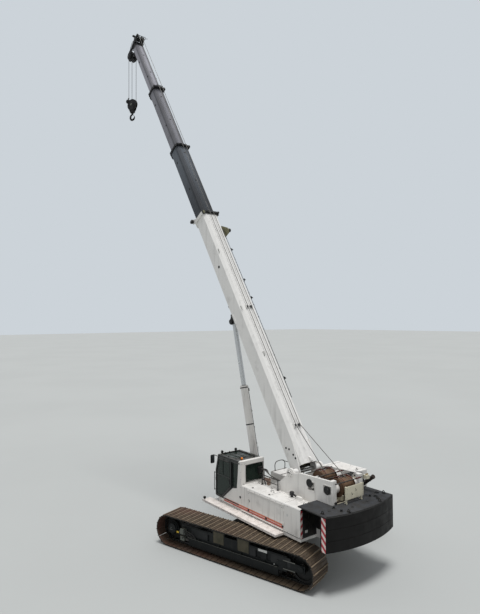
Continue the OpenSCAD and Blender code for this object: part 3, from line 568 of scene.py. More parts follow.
chrome = finish("chrome_rod", srgb(204, 207, 209), 0.3, 0.6, tint=0.02, bump=0)
rusty = finish("rusty_steel", srgb(88, 64, 46), 0.75, 0.2, streak=0.4, tint=0.15, bump=0.006, grain=60)
exhaust_black = finish("exhaust_black", srgb(34, 30, 27), 0.7, 0.3, streak=0.5, grime=srgb(96, 62, 42),
                       bump=0.004, grain=60)
rope_wire = finish("wire_rope", srgb(92, 90, 86), 0.5, 0.45, tint=0.2, bump=0.003, grain=400)
drum_rope = finish("drum_rope", srgb(124, 98, 76), 0.6, 0.35, tint=0.2, streak=0.5, grime=srgb(60, 40, 30),
                   bump=0.003, grain=300)
hose = finish("hose", srgb(30, 30, 31), 0.6, dust=0.25, bump=0.002, grain=200)
red_paint = finish("red_paint", srgb(172, 44, 40), 0.45, streak=0.2, bump=0.002, grain=20)
yellow = finish("yellow_tag", srgb(214, 178, 44), 0.5, streak=0.2, bump=0.001, grain=20)
amber = finish("amber_lens", srgb(226, 128, 30), 0.2, tint=0.04, bump=0)
lens = finish("lamp_lens", srgb(214, 216, 214), 0.12, tint=0.03, bump=0.001, grain=60, coat=0.6)
weight_bars = finish("weight_bars", WHITE, 0.45, extra=warning(-1.0), streak=0.2, bump=0.001)
house_bars = finish("house_bars", WHITE, 0.45, extra=warning(1.0), streak=0.2, bump=0.001)
tracks = {s: finish("track_steel_" + word, srgb(74, 62, 50), 0.62, 0.25, extra=rib_wear(s), **TRACK_LOOK)
          for s, word in ((1, "left"), (-1, "right"))}
glass = clear_glass("tinted_glass")
cab_white = finish("cab_white", WHITE, 0.42, streak=0.15, extra=red_stripe, **WHITE_LOOK)
olive_paint = finish("olive_paint", srgb(108, 106, 78), 0.55, streak=0.4, dust=0.2, tint=0.1, bump=0.003,
                     grain=30)
guard_red = finish("guard_red", srgb(92, 38, 28), 0.6, streak=0.4, tint=0.15, bump=0.003, grain=40)
# A dark brown, painted shadow on the parts it covers
brown_dark = finish("shadow_brown", srgb(58, 44, 36), 0.7, streak=0.4, dust=0.3, tint=0.15, bump=0.004,
                    grain=40)
brass = finish("brass_fitting", srgb(168, 138, 78), 0.35, 0.9, streak=0.2, bump=0.001, grain=60)
screen = finish("display", srgb(18, 24, 34), 0.12, tint=0.1, bump=0)
mirror = finish("mirror_face", srgb(196, 202, 206), 0.05, 1.0, tint=0.01, bump=0)

# Each of the CAD's solids with its material and the rounding of its edges in millimetres

LOOKS = (
    (black_frame, 8, "side_frame_left side_frame_right"), (carbody_black, 10, "carbody"),
    (greased, 6, "slewing_ring"), (dark_steel, 5, "drive_left drive_right"),
    (dark_steel, 4, "rollers_left rollers_right"), (tracks[1], 3, "track_left"),
    (tracks[-1], 3, "track_right"),
    (white, 8, "deck"), (tread_white, 8, "walkway_left walkway_right"), (white_frame, 7, "winch_frame"),
    (white_hood, 7, "left_housing"), (white_hood, 4, "left_door"), (white, 12, "right_housing"),
    (white, 4, "right_door"), (iron, 12, "engine"), (exhaust_black, 3, "exhaust"), (white, 25, "fuel_tank"),
    (weight_black, 14, "counterweight"), (deck_grey, 8, "counterweight_deck"), (cream, 3, "rear_plate"),
    (cab_black, 8, "cab_frame cab_door"), (white, 20, "cab_back"), (glass, 0, "cab_glass door_glass"),
    (seat_cloth, 30, "cab_seat"), (grey_plastic, 15, "cab_console"), (black, 3, "handrails"),
    (rusty, 4, "main_winch aux_winch"), (white, 6, "lift_barrel"), (chrome, 4, "lift_rod"),
    (machined, 5, "foot_pin lug_pin"), (white_boom, 8, "boom_base"), (dark_grey, 8, "boom_inner"),
    (mid_grey, 8, "boom_outer"), (light_grey, 8, "boom_tip"), (white_collar, 6, "base_collar"),
    (boom_black, 6, "inner_collar outer_collar"), (boom_black, 5, "boom_head hook_block"),
    (dark_steel, 2, "head_sheaves idler_sheaves block_sheave"), (rope_wire, 0, "hoist_falls"),
    (boom_black, 0, "hook"))

for mat, width, names in LOOKS:
    for name in names.split():
        paint(name, mat, width)


# Tracks

TRACK_BODY = {1: "left_track", -1: "right_track"}
WORD = {1: "left", -1: "right"}
LOOP_LEN = 4 * LOOP_HALF + 2 * pi * PITCH_R
SHOE_PITCH = LOOP_LEN / SHOES
TREAD = LOOP_R - 22.0
SIDE_FACE = -230


def on_loop(s):
    """The point at arc length s along the chain's pitch line, and the way along it."""
    s %= LOOP_LEN
    turn = pi * PITCH_R
    if s < 2 * LOOP_HALF:
        return Vector((s - LOOP_HALF, -PITCH_R, 0)), Vector(AHEAD)
    s -= 2 * LOOP_HALF
    if s < turn or s >= turn + 2 * LOOP_HALF:
        end = 1 if s < turn else -1
        a = (s if end > 0 else s - turn - 2 * LOOP_HALF) / PITCH_R - pi / 2 + (0 if end > 0 else pi)
        out = Vector((cos(a), sin(a), 0))
        return Vector((end * LOOP_HALF, 0, 0)) + out * PITCH_R, Vector((-out.y, out.x, 0))
    return Vector((LOOP_HALF - (s - turn), PITCH_R, 0)), Vector(BACK)


def shoe_frame(side, s):
    """X along the chain, Y out of the loop from its pitch line, Z away from the machine."""
    at, along = on_loop(s)
    out = Vector((along.y, -along.x, 0))
    return side_frame(side) @ Matrix((
        (along.x, out.x, 0, at.x), (along.y, out.y, 0, at.y), (0, 0, -1, 0), (0, 0, 0, 1)))


def shoe_outline():
    """A double-rib shoe's section: [along the chain, out of the loop], from the pitch line."""
    low, top, rib = LINK_OUT - PITCH_R, TREAD - PITCH_R, LOOP_R - PITCH_R
    half = SHOE_PITCH / 2 - 3
    return [(-half, low), (half - 24, low), (half, low + 12), (half, top - 4), (half - 10, top), (22, top),
            (17, rib - 6), (5, rib - 6), (0, top), (-half + 36, top), (-half + 28, rib),
            (-half + 8, rib), (-half, top)]


def track_shoes(side):
    shoes = Shape("track_shoes_" + WORD[side], None)
    for i in range(SHOES):
        shoes.at = shoe_frame(side, (i + 0.5) * SHOE_PITCH)
        shoes.prism(shoe_outline(), -SHOE_W / 2, SHOE_W / 2, tracks[side])
        spots = [(u, TREAD - PITCH_R, w) for u in (-26, 52) for w in (-105, -62, 62, 105)]
        shoes.bolts(spots, LEFT, 10, tracks[side])
    obj = shoes.done(TRACK_BODY[side], 2.5, 1, slot="track_steel")
    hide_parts("track_" + WORD[side])


def track_chain(side):
    chain = Shape("track_chain_" + WORD[side], None)
    low, high = LINK_IN - PITCH_R, LINK_OUT - PITCH_R
    mid, half = (low + high) / 2, SHOE_PITCH / 2
    link = [(-half - 16, mid - 22), (-half + 30, low + 1), (half - 10, low + 1), (half + 16, mid - 14),
            (half + 16, mid + 14), (half - 20, high), (-half + 24, high), (-half - 16, mid + 18)]
    for i in range(SHOES):
        chain.at = shoe_frame(side, (i + 0.5) * SHOE_PITCH)
        near, far = (54, 76) if i % 2 else (78, 97)
        for e in (-1, 1):
            chain.prism(link, *sorted((e * near, e * far)), dark_steel)
            chain.rod((half, mid, e * 97), (half, mid, e * 104), 17, dark_steel, 8)
        chain.rod((half, mid, -54), (half, mid, 54), 24, dark_steel, 10)
    chain.done(TRACK_BODY[side], 0, slot="track_steel")


def roller_shape(piece, u, v, r, half):
    """A track roller with its two rims, and the end caps on its shaft."""
    for e in (-1, 1):
        profile = [(r * 0.55, 0), (r * 0.78, 30), (r * 0.78, half - 62), (r, half - 56), (r, half - 8),
                   (r * 0.9, half), (r * 0.5, half), (r * 0.5, half + 10), (r * 0.42, half + 16),
                   (0, half + 16)]
        piece.lathe(profile, (u, v, 0), (0, 0, e), dark_steel, 24)


def rolling_gear(side):
    gear = Shape("rollers_and_wheels_" + WORD[side], side_frame(side))
    for i in range(-4, 5):
        roller_shape(gear, i * 430, -LINK_IN + 100, 99, 140)
    for u in (-1300, 1300):
        roller_shape(gear, u, LINK_IN - 76, 75, 110)
    rim = LINK_IN - 1
    wheel = [(0, 160), (60, 160), (68, 150), (128, 150), (130, 100), (130, 40), (rim * 0.82, 48),
             (rim * 0.86, 92), (rim - 4, 95), (rim, 88), (rim, 0)]
    for e in (-1, 1):
        gear.lathe(wheel, (-LOOP_HALF, 0, 0), (0, 0, e), dark_steel, 48)
        gear.bolts([(-LOOP_HALF + u, v, e * 150) for u, v in circle(8, 100)], (0, 0, e), 13, dark_steel)
    obj = gear.done(TRACK_BODY[side], 2, 1, slot="worn_steel")
    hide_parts("rollers_" + WORD[side])


def toothed_rim(teeth=15):
    """The drive wheel's outline."""
    tooth = ((0.0, -46), (0.12, -30), (0.22, -1), (0.48, -1), (0.58, -30), (0.7, -46), (0.85, -50))
    rim = []
    for i in range(teeth):
        for share, r in tooth:
            a = 2 * pi * (i + share) / teeth
            rim.append(((LINK_IN + r) * cos(a), (LINK_IN + r) * sin(a)))
    return rim


def final_drive(side):
    hub = Shape("final_drive_" + WORD[side], side_frame(side) @ Matrix.Translation((LOOP_HALF, 0, 0)))
    middle = (0, 0, 0)
    hub.prism(toothed_rim(), -34, 34, dark_steel)
    hub.lathe([(235, -20), (235, 120), (225, 150), (119, 152), (119, 279), (0, 279)], middle, INWARD,
              dark_steel, 40)
    hub.lathe([(235, -20), (232, 130), (200, 136), (196, 176), (176, 190), (176, 232), (150, 248), (64, 252),
               (58, 262), (0, 262)], middle, OUTWARD, black_frame, 40)
    for k, (c, s) in enumerate(circle(20, 1)):
        hub.bolt((215 * c, 215 * s, -132), OUTWARD, 11, dark_steel)
        if k % 2:
            hub.bolt((136 * c, 136 * s, -248), OUTWARD, 10, dark_steel)
    for u, v in circle(3, 40, 90):
        hub.rod((u, v, -252), (u, v, -268), 13, machined, 6)
    hub.lathe([(170, 230), (170, 326), (150, 334), (90, 336), (84, 350), (0, 350)], middle, INWARD,
              black_frame, 36)
    obj = hub.done(TRACK_BODY[side], 2, 1, slot="worn_steel")
    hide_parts("drive_" + WORD[side])


def side_plates(fit):
    """A side frame's lower edge, its pockets as near-black sheets of painted shade, and its covers."""
    out = SIDE_FACE
    fit.box((-1762, -104, out - 64), (1762, -98, out - 54), pale_line)
    for u in range(-1650, 1700, 220):
        fit.bolts([(u, -150, out - 1), (u, -360, out - 1)], OUTWARD, 11, dark_steel)
    for u in (-1290, -430, 430, 1290):
        fit.prism(rect(u - 12, -104, u + 12, -52), out - 48, out, black_frame)
    fit.prism(rounded(-1370, 165, -1050, 235, 10), out - 6, out, plate_white)
    fit.bolts([(u, 200, out - 6) for u in (-1350, -1070)], OUTWARD, 6, machined)
    for u0, u1 in ((930, 1640), (-960, -740), (-2180, -1500)):
        fit.prism(rounded(u0, -40, u1, 215, 30), out - 4, out - 1, pocket_shade)
    fit.prism(rounded(-2060, -90, -1700, 90, 40), out - 12, out, black_frame)
    fit.bolts([(u, v, out - 12) for u in (-2020, -1740) for v in (-55, 55)], OUTWARD, 10, dark_steel)
    fit.rod((-1640, -60, out), (-1640, -60, out - 34), 20, machined, 8)


def drive_valves(fit):
    """The valve blocks by the drive, their hoses and the yellow tag."""
    out, rows = SIDE_FACE, (-10, 50, 110)
    fit.prism([(1840, -40), (2060, -40), (2090, 30), (2040, 150), (1880, 150), (1840, 90)], out - 95, out,
              grey_valve)
    fit.prism(rect(1880, -250, 2060, -110), out - 80, out, grey_valve)
    for v in rows:
        fit.rod((1900, v, out - 95), (1900, v, out - 120), 18, machined, 8)
    for k, v in enumerate(rows):
        fit.tube([(1900, v, out - 118), (1800, v + 30, out - 138), (1650 - 60 * k, v - 70, out - 70),
                  (1520 - 70 * k, -60 - 30 * k, out - 26), (1480 - 70 * k, -92, out - 20)], 14, hose)
    fit.tube([(1970, -180, out - 80), (1930, -120, out - 120), (1790, -150, out - 90), (1700, -92, out - 40)],
             13, hose)
    fit.prism(rounded(2170, -70, 2270, -10, 12), out - 36, out - 24, yellow)
    fit.box((2190, -40, out - 24), (2240, -20, out + 20), black_frame)


def frame_ends(fit):
    """The idler's guides and cap, and the bolts on the frame's top and on the beams' sleeves."""
    out = SIDE_FACE
    for e in (-1, 1):
        fit.prism(rect(-2330, e * 120 - 12, -1930, e * 120 + 12), out - 10, out, pale_line)
    fit.lathe([(0, 0), (90, 0), (90, 26), (60, 40), (30, 44), (0, 44)], (-LOOP_HALF, 0, out), OUTWARD,
              black_frame, 28)
    fit.bolts([(u, 230, out) for u in (-1935, -1905, 1905)], OUTWARD, 12, dark_steel)
    sleeves = [(u + e, 370, w) for u in (-485, 485) for w in (275, 345) for e in (-180, 180)]
    fit.bolts(sleeves, LEFT, 11, dark_steel)


def side_frame_fittings(side):
    fit = Shape("side_frame_fittings_" + WORD[side], side_frame(side))
    side_plates(fit)
    drive_valves(fit)
    frame_ends(fit)
    fit.done(TRACK_BODY[side], 2, 1, slot="black_frame")


for side in (1, -1):
    track_shoes(side)
    track_chain(side)
    rolling_gear(side)
    final_drive(side)
    side_frame_fittings(side)


def carbody_fittings():
    fit = Shape("carbody_fittings", LOWER)
    for c, s in circle(36, 1):
        fit.bolt((780 * c, 780 * s, 1062), (c, s, 0), 9, dark_steel)
    for e in (-1, 1):
        x0, x1 = sorted((e * 880, e * 892))
        fit.box((x0, -420, 520), (x1, 420, 900), black_frame)
        fit.bolts([(e * 892, y, z) for y in (-360, 0, 360) for z in (560, 860)], (e, 0, 0), 12, dark_steel)
        y0, y1 = sorted((e * 780, e * 790))
        # A near-black panel of painted shade on the carbody's side
        fit.box((-360, y0, 540), (360, y1, 880), pocket_shade)
        for d in (1, -1):
            fit.tube([(e * 250, d * 500, 480), (e * 330, d * 640, 440), (e * 600, d * 700, 450),
                      (e * 700, d * 500, 480)], 17, hose)
    fit.lathe([(120, 0), (120, 60), (90, 70), (90, 150), (0, 150)], (0, 0, 470), DOWN, dark_steel, 28)
    fit.done("undercarriage", 3, 1, slot="black_frame")


carbody_fittings()


# Housings, walkways and counterweight

HOUSE_Y, HOUSE_TOP, HOUSE_REAR = 1371, 2069, -2577
RIGHT_Y, BANK_REAR, BANK_TOP = -1500, -2747, 2780
CAB_REAR, CAB_IN, CAB_TOP = 270, 366, 2843
WALK_TOP, WEIGHT_LOW, WEIGHT_TOP, TAIL_R = 1180, 1212, 2212, 4235


def grab(piece, a, b, out, r):
    """A black bar standing off a face by out, its feet at a and b."""
    a, b, out = Vector(a), Vector(b), Vector(out)
    lean = (b - a).normalized() * out.length * 0.35
    piece.tube([a, a + out * 0.7, a + out + lean, b + out - lean, b + out * 0.7, b], r, black, steps=4)
    for p in (a, b):
        piece.lathe(disc(r * 2, 5), p, out, black, 12)


def latch(piece, at, out):
    """A round black paddle latch on a face."""
    piece.lathe([(44, 0), (44, 5), (38, 8), (34, 4), (14, 4), (12, 9), (0, 10)], at, out, black, 24)


def bow(foot, shoulder, low, high):
    """The path of a bar bent to an eye, as [along, up]."""
    return [(-foot, 0), (-shoulder, low), (0, high), (shoulder, low), (foot, 0)]


def border(u0, v0, u1, v1, wide):
    """The four bars round an opening, as rectangles."""
    return ((u0 - wide, v0 - wide, u1 + wide, v0), (u0 - wide, v1, u1 + wide, v1 + wide),
            (u0 - wide, v0, u0, v1), (u1, v0, u1 + wide, v1))


def louvres(piece, place, low, high, step, mat):
    """Slanting slats across a panel. place(u, v, w) puts a point u along, v up and w out of the face."""
    v = low[1]
    while v + step <= high[1] + 1:
        slat = [(v, 1), (v + step * 0.25, 14), (v + step * 0.4, 14), (v + step * 0.8, 1)]
        pts = [place(u, a, w) for u in (low[0], high[0]) for a, w in slat]
        faces = [(0, 1, 2, 3), (4, 5, 6, 7), (0, 1, 5, 4), (1, 2, 6, 5), (2, 3, 7, 6), (3, 0, 4, 7)]
        piece.mesh(pts, faces, mat)
        v += step


def hood_top(hood):
    """Joints, hinges, handles, eyes, air intake and filler on the left housing's top."""
    top, side = HOUSE_TOP, HOUSE_Y
    for x in (-1080, -1870):
        hood.box((x - 4, 705, top), (x + 4, side - 45, top + 1.5), rubber)
        hood.box((x - 4, side, 1965), (x + 4, side + 1.5, top - 45), rubber)
    hood.box((-2570, 770, top), (255, 776, top + 1.5), rubber)
    for x in (-2350, -1500, -620, 60):
        hood.rod((x - 45, 773, top + 9), (x + 45, 773, top + 9), 9, black, 10)
        hood.box((x - 40, 735, top), (x + 40, 812, top + 4), white_hood)
        hood.bolts([(x + e, y, top + 4) for y in (750, 798) for e in (-22, 22)], UP, 6, dark_steel)
    for x in (-980, -2480):
        grab(hood, (x, 1000, top), (x + 140, 1000, top), (0, 0, 55), 8)
    for x in (-1040, -200):
        hood.lathe([(34, 0), (34, 10), (26, 18), (0, 20)], (x, 1250, top), UP, black, 20)
    for x in (-2050, 60):
        hood.tube([(x + u, 880, top + w) for u, w in bow(38, 34, 52, 74)], 9, white_hood)
    hood.prism(rounded(-2200, 800, -1570, 950, 40), top, top + 26, white_hood, inset=0.05)
    hood.prism(rounded(-2160, 830, -1900, 920, 30), top + 26, top + 120, white_frame, inset=0.12)
    hood.lathe([(46, 0), (46, 60), (70, 66), (74, 150), (60, 172), (0, 180)], (-1690, 872, top + 26), UP,
               black, 28)
    hood.tube([(-1900, 872, top + 80), (-1830, 872, top + 110), (-1750, 872, top + 120)], 30, black, 12)


def hood_side(hood):
    """Latches, gutters, bolts and the blank plate on the left housing's side."""
    side = HOUSE_Y
    for x in (-1795, -1010, -110):
        latch(hood, (x, side, 1335), LEFT)
    hood.box((-1852, side, 1985), (-62, side + 14, 1999), white_hood)
    hood.box((-2570, side, 1200), (250, side + 5, 1214), black)
    for x in range(-2530, 240, 260):
        hood.bolts([(x, side, 1232), (x, side, 2008)], LEFT, 7, dark_steel)
    hood.prism(rect(-2040, 1700, -1975, 1775), side, side + 1.5, plate_white, axis="y")


def left_hood():
    hood = Shape("left_hood_fittings", UPPER)
    hood_top(hood)
    hood_side(hood)
    hood.done("upper", 1.5, 1, slot="white_paint")
    door, side = Shape("left_door_fittings", UPPER), HOUSE_Y
    latch(door, (-135, side, 1650), LEFT)
    for z in (1915, 1440):
        door.prism(rect(-1810, z, -100, z + 6), side, side + 8, white_hood, axis="y")
    door.bolts([(x, side, z) for x in (-1760, -120) for z in (1320, 1900)], LEFT, 7, dark_steel)
    door.done("left_door", 1.5, 1, slot="white_paint")


def left_rear():
    rear = Shape("left_outlet", UPPER)
    x = HOUSE_REAR
    for y0, z0, y1, z1 in ((750, 1215, 775, 2035), (1262, 1215, 1287, 2035), (775, 1215, 1262, 1240),
                           (775, 2010, 1262, 2035), (1010, 1240, 1026, 2010)):
        rear.box((x - 14, y0, z0), (x, y1, z1), black)
    for y0, y1 in ((777, 1008), (1028, 1260)):
        louvres(rear, lambda u, v, w: (x - w, u, v), (y0, 1242), (y1, 2008), 32, black)
    rear.bolts([(x - 14, y, z) for y in (762, 1274) for z in range(1240, 2020, 130)], BACK, 7, dark_steel)
    rear.box((x - 16, 1085, 1340), (x - 14, 1200, 1420), plate_white)
    rear.box((x - 3, 1292, 1195), (x, 1368, 2020), house_bars)
    rear.done("upper", 1.5, 1, slot="black_trim")


def tread(walk, back, side, x1):
    """The rows of raised studs on a walkway."""
    for i in range(int((x1 + 1830) / 62)):
        for j in range(5):
            x = -1830 + 62 * i + (31 if j % 2 else 0)
            y = back + side * (45 + 66 * j)
            walk.lathe([(11, 0), (9, 4), (0, 5)], (x, y, WALK_TOP), UP, tread_white, 7)


def walkway_lamp(walk, x, y):
    """A lamp on its stalk at a walkway's front end."""
    walk.tube([(x, y, WALK_TOP), (x, y, WALK_TOP + 40)], 12, black, steps=1)
    at = (x - 32, y, WALK_TOP + 70)
    walk.lathe([(40, 0), (46, 8), (46, 60), (38, 66), (0, 66)], at, AHEAD, black, 20)
    walk.lathe([(38, 66), (34, 70), (0, 71)], at, AHEAD, lens, 20)


def walkway(name, side, back, out, x1):
    """A walkway's joints, studs, edge, brackets and lamp; back is its inner edge and out its outer one."""
    walk, top = Shape(name, UPPER), WALK_TOP
    low, high = sorted((back, out))
    for x in (-950, 640):
        if x < x1 - 200:
            walk.box((x - 4, low + 2, top), (x + 4, high - 2, top + 1.5), rubber)
    tread(walk, back, side, x1)
    low, high = sorted((out, out - side * 12))
    walk.box((-1850, low, top), (x1, high, top + 9), tread_white)
    rise = [(back + side * 5, 1105), (out - side * 30, 1105), (out - side * 30, 1098),
            (back + side * 5, 1066)]
    for x in range(-1700, int(x1) - 100, 420):
        walk.prism(rise, x - 6, x + 6, black, axis="x")
        walk.bolt((x, out, 1150), (0, side, 0), 9, dark_steel)
    walkway_lamp(walk, x1 - 60, out - side * 60)
    walk.done("upper", 1, 1, slot="walkway_paint")


def walkways():
    walkway("walkway_left_trim", 1, HOUSE_Y, 1740, 2116)
    walkway("walkway_right_trim", -1, RIGHT_Y, -1740, 1200)
    rail, y = Shape("walkway_rail", UPPER), HOUSE_Y
    rail.prism([(y, 1236), (y + 34, 1236), (y + 34, 1242), (y + 6, 1242), (y + 6, 1262), (y, 1262)], -1840,
               250, tread_white, axis="x")
    rail.done("upper", 1, 1, slot="walkway_paint")


def arc_point(r, a):
    """A point on a circle round the slewing axis, at an angle from straight behind."""
    return (SLEW_X - r * cos(a), r * sin(a))


def weight_fittings(trim, side):
    """Warning bars, pockets, lifting eyes and deck bolts of one half of the counterweight."""
    low, high = sorted((side * 1520, side * 1524))
    top = WEIGHT_TOP
    trim.box((-3716, low, WEIGHT_LOW + 10), (-3560, high, 2165), weight_bars)
    for z in (1372, 1690, 2010):
        trim.lathe([(58, 0), (58, 10), (44, 16), (30, 8), (0, 8)], (-3475, side * 1451, z),
                   (0.66, side * 0.75, 0), weight_black, 24)
    for x, y in ((-3480, side * 1380), (-3850, side * 700)):
        trim.box((x - 55, y - 40, top), (x + 55, y + 40, top + 10), weight_black)
        trim.tube([(x + u, y, top + 10 + w) for u, w in bow(34, 32, 48, 72)], 12, dark_steel, 10)
    for x in (-3390, -3680):
        trim.lathe([(52, 0), (52, 12), (34, 12), (34, 52), (28, 58), (0, 58)], (x, side * 820, top), UP,
                   dark_steel, 6)


def counterweight_trim():
    trim = Shape("counterweight_trim", UPPER)
    for side in (1, -1):
        weight_fittings(trim, side)
    n = 40
    turns = [radians(-20.6 + 41.2 * i / n) for i in range(n + 1)]
    rim = [arc_point(TAIL_R - 6, a) for a in turns] + [arc_point(TAIL_R - 22, a) for a in turns][::-1]
    trim.prism(rim, WEIGHT_TOP, WEIGHT_TOP + 9, weight_black)
    for z in (1292, 1592, 2155):
        for a in (radians(-19.4), radians(19.4)):
            trim.lathe([(24, -4), (24, 5), (18, 7), (0, 7)], (*arc_point(TAIL_R, a), z), (-1, tan(a), 0),
                       weight_black, 16)
    trim.done("upper", 2, 1, slot="black_weight")


def counterweight_deck_trim():
    floor, top = Shape("counterweight_deck_trim", UPPER), WEIGHT_TOP
    # Pockets in the deck with near-black bottoms of painted shade
    for x, y in ((-3310, -1260), (-3500, -960)):
        floor.lathe([(86, 0), (86, 8), (68, 8), (66, -20), (0, -20)], (x, y, top), UP, pocket_shade, 32)
    for x, y in ((-3450, 1080), (-3650, 300), (-3600, -420)):
        floor.lathe(cap(46, 6, 40, 8), (x, y, top), UP, dark_steel, 24)
    for i in range(11):
        for j in range(16):
            r = 4160 - 62 * i - (31 if j % 2 else 0)
            x, y = arc_point(r, radians(-18 + 2.4 * j))
            if x < -3290 and abs(y) < 1400:
                floor.lathe([(9, 0), (7, 3), (0, 4)], (x, y, top), UP, deck_grey, 6)
    floor.done("upper", 1, 1, slot="grey_deck")


def bank_panels(bank):
    """Covers, louvres and latches on the right housing's side and rear."""
    y, rear = RIGHT_Y, BANK_REAR
    for x0, x1 in ((-2440, -1820), (-1780, -1160)):
        bank.prism(rounded(x0, 2120, x1, 2640, 20), y - 6, y, white_hood, axis="y")
    louvres(bank, lambda u, v, w: (u, y - 6 - w, v), (-2400, 2160), (-1860, 2600), 40, white_hood)
    for z in (2160, 2600):
        latch(bank, (-1200, y - 6, z), RIGHT)
    for y0, z0, y1, z1 in border(-1415, 1325, -785, 2215, 25):
        bank.box((rear - 12, y0, z0), (rear, y1, z1), black)
    louvres(bank, lambda u, v, w: (rear - w, u, v), (-1412, 2230), (-788, 2270), 32, black)
    louvres(bank, lambda u, v, w: (rear - w, u, v), (-1412, 1328), (-788, 2212), 34, black)


def bank_top(bank):
    """Joints, air slots, eyes, grabs and covers on the right housing's two tops."""
    top, low_top = BANK_TOP, HOUSE_TOP + 13
    for x in (-2600, -2100, -1650):
        bank.box((x - 5, -1490, top), (x + 5, -705, top + 2), rubber)
    bank.prism(rounded(-2560, -1380, -1900, -860, 60), top, top + 20, white_hood, inset=0.04)
    for x in range(-2520, -1910, 45):
        bank.prism([(x, 2800), (x + 14, 2812), (x + 20, 2812), (x + 8, 2800)], -1340, -900, white_hood,
                   axis="y")
    for x in (-1620, -2650):
        bank.tube([(x, -1100 + u, top + w) for u, w in bow(30, 26, 52, 74)], 9, white_hood)
    for y in (-900, -1350):
        grab(bank, (-1500, y, 2300), (-1500, y, 2620), (60, 0, 0), 12)
    bank.prism(rounded(-1430, -1400, -420, -800, 40), HOUSE_TOP, low_top, white_hood, inset=0.02)
    bank.bolts([(x, y, low_top) for x in (-1380, -470) for y in (-1360, -840)], UP, 9, dark_steel)
    grab(bank, (-980, -1100, low_top), (-820, -1100, low_top), (0, 0, 50), 8)


def right_bank():
    bank, y = Shape("right_bank_fittings", UPPER), RIGHT_Y
    bank_panels(bank)
    bank_top(bank)
    for x in (-1010, -420):
        latch(bank, (x, y, 1620), RIGHT)
    bank.box((-1120, y - 3, 1250), (-320, y, 1258), rubber)
    bank.bolts([(x, y, 1228) for x in range(-2700, -320, 300)], RIGHT, 7, dark_steel)
    bank.box((BANK_REAR - 3, -1497, 1195), (BANK_REAR, -1446, 2050), house_bars)
    for x0, x1 in ((-2742, -1152), (-1060, -1059), (-330, -329), (-1050, -304)):
        bank.box((x0, y - 3, 1270), (x1, y, 1330), red_paint)
    bank.done("upper", 1.5, 1, slot="white_paint")
    door = Shape("right_door_fittings", UPPER)
    for x0, x1 in ((-2380, -1860), (-1780, -1300)):
        louvres(door, lambda u, v, w: (u, y - w, v), (x0, 1400), (x1, 1860), 40, white_hood)
    latch(door, (-1225, y, 1650), RIGHT)
    door.done("right_door", 1.5, 1, slot="white_paint")


def fuel_tank():
    tank = Shape("fuel_tank_fittings", UPPER)
    top, y = 1970, -1440
    for x in (60, 560, 1060):
        tank.box((x - 24, y - 5, 1195), (x + 24, y, top), black)
        tank.box((x - 24, y - 5, top), (x + 24, -700, top + 5), black)
    tank.lathe([(62, 0), (62, 30), (72, 34), (72, 60), (60, 68), (0, 68)], (300, -1200, top), UP, black, 32)
    for z in (1330, 1600):
        tank.prism(rounded(820, y - 150, 1100, y - 5, 20), z, z + 22, tread_white)
        for x in (830, 1090):
            tank.prism([(y - 5, z), (y - 140, z), (y - 5, z - 90)], x - 5, x + 5, black, axis="x")
    grab(tank, (1110, y + 40, top), (1110, -900, top), (0, 0, 320), 15)
    grab(tank, (60, y + 60, top), (60, -900, top), (0, 0, 320), 15)
    tank.tube([(150, y + 150, top + 300), (600, y + 150, top + 318), (1100, y + 150, top + 300)], 12, black)
    tank.box((20, y - 3, 1235), (1130, y, 1290), red_paint)
    tank.done("upper", 2, 1, slot="white_paint")


left_hood()
left_rear()
walkways()
counterweight_trim()
counterweight_deck_trim()
right_bank()
fuel_tank()


# Cab

CAB_SIDE, FLOOR_Z, SEAT_Y = 1375.5, 1424, 826


def ring(points, r=0.0):
    """points as a closed path with its corners cut back by r."""
    out = []
    for i, p in enumerate(points):
        p = Vector(p)
        for q in (points[i - 1], points[(i + 1) % len(points)]):
            way = Vector(q) - p
            out.append(p + way.normalized() * min(r, way.length * 0.45))
    return out


def cab_side():
    side, y = Shape("cab_side_panel", UPPER), HOUSE_Y
    side.prism([(270, 1262), (1430, 1262), (1430, 1300), (770, 1835), (520, 1900), (470, 2300), (430, 2800),
                (400, 2843), (270, 2843)], y, y + 4.5, cab_white, axis="y")
    side.box((270, 1312, 1262), (1430, y, 1358), cab_white)
    side.prism([(270, 366), (420, 366), (420, 1330), (395, 1371), (270, 1371)], CAB_TOP, CAB_TOP + 5,
               cab_white)
    side.prism([(270, 1361), (330, 1361), (420, 2000), (400, 2800), (380, 2843), (270, 2843)], CAB_IN - 5,
               CAB_IN, cab_white, axis="y")
    latch(side, (330, CAB_SIDE, 1650), LEFT)
    side.bolts([(x, CAB_SIDE, 1280) for x in (300, 700, 1100, 1390)], LEFT, 6, dark_steel)
    side.bolts([(300, CAB_SIDE, z) for z in (2000, 2250, 2500, 2750)], LEFT, 6, dark_steel)
    side.done("upper", 1.5, 1, slot="white_paint")


def roof_guard(seal):
    """The bars over the roof window."""
    low, high = CAB_TOP + 24, CAB_TOP + 34
    for y in (640, 900, 1100):
        seal.tube([(690, y, low), (720, y, high), (1540, y, high), (1574, y, low)], 8, black)
    for x in (720, 1130, 1540):
        seal.tube([(x, 476, CAB_TOP + 8), (x, 500, low), (x, 1237, low), (x, 1261, CAB_TOP + 8)], 8, black)


def wiper(seal, y, dy):
    """A wiper on the windscreen: its cap, arm and blade."""
    seal.lathe(cap(22, 20, 14, 28), (1804, y, 1420), AHEAD, black, 16)
    seal.tube([(1826, y, 1420), (1824, y - dy * 60, 1700), (1816, y - dy * 90, 1980)], 7, black, 6)
    seal.prism(rect(y - dy * 90 - 6, 1660, y - dy * 90 + 6, 2180), 1806, 1813, rubber, axis="x")


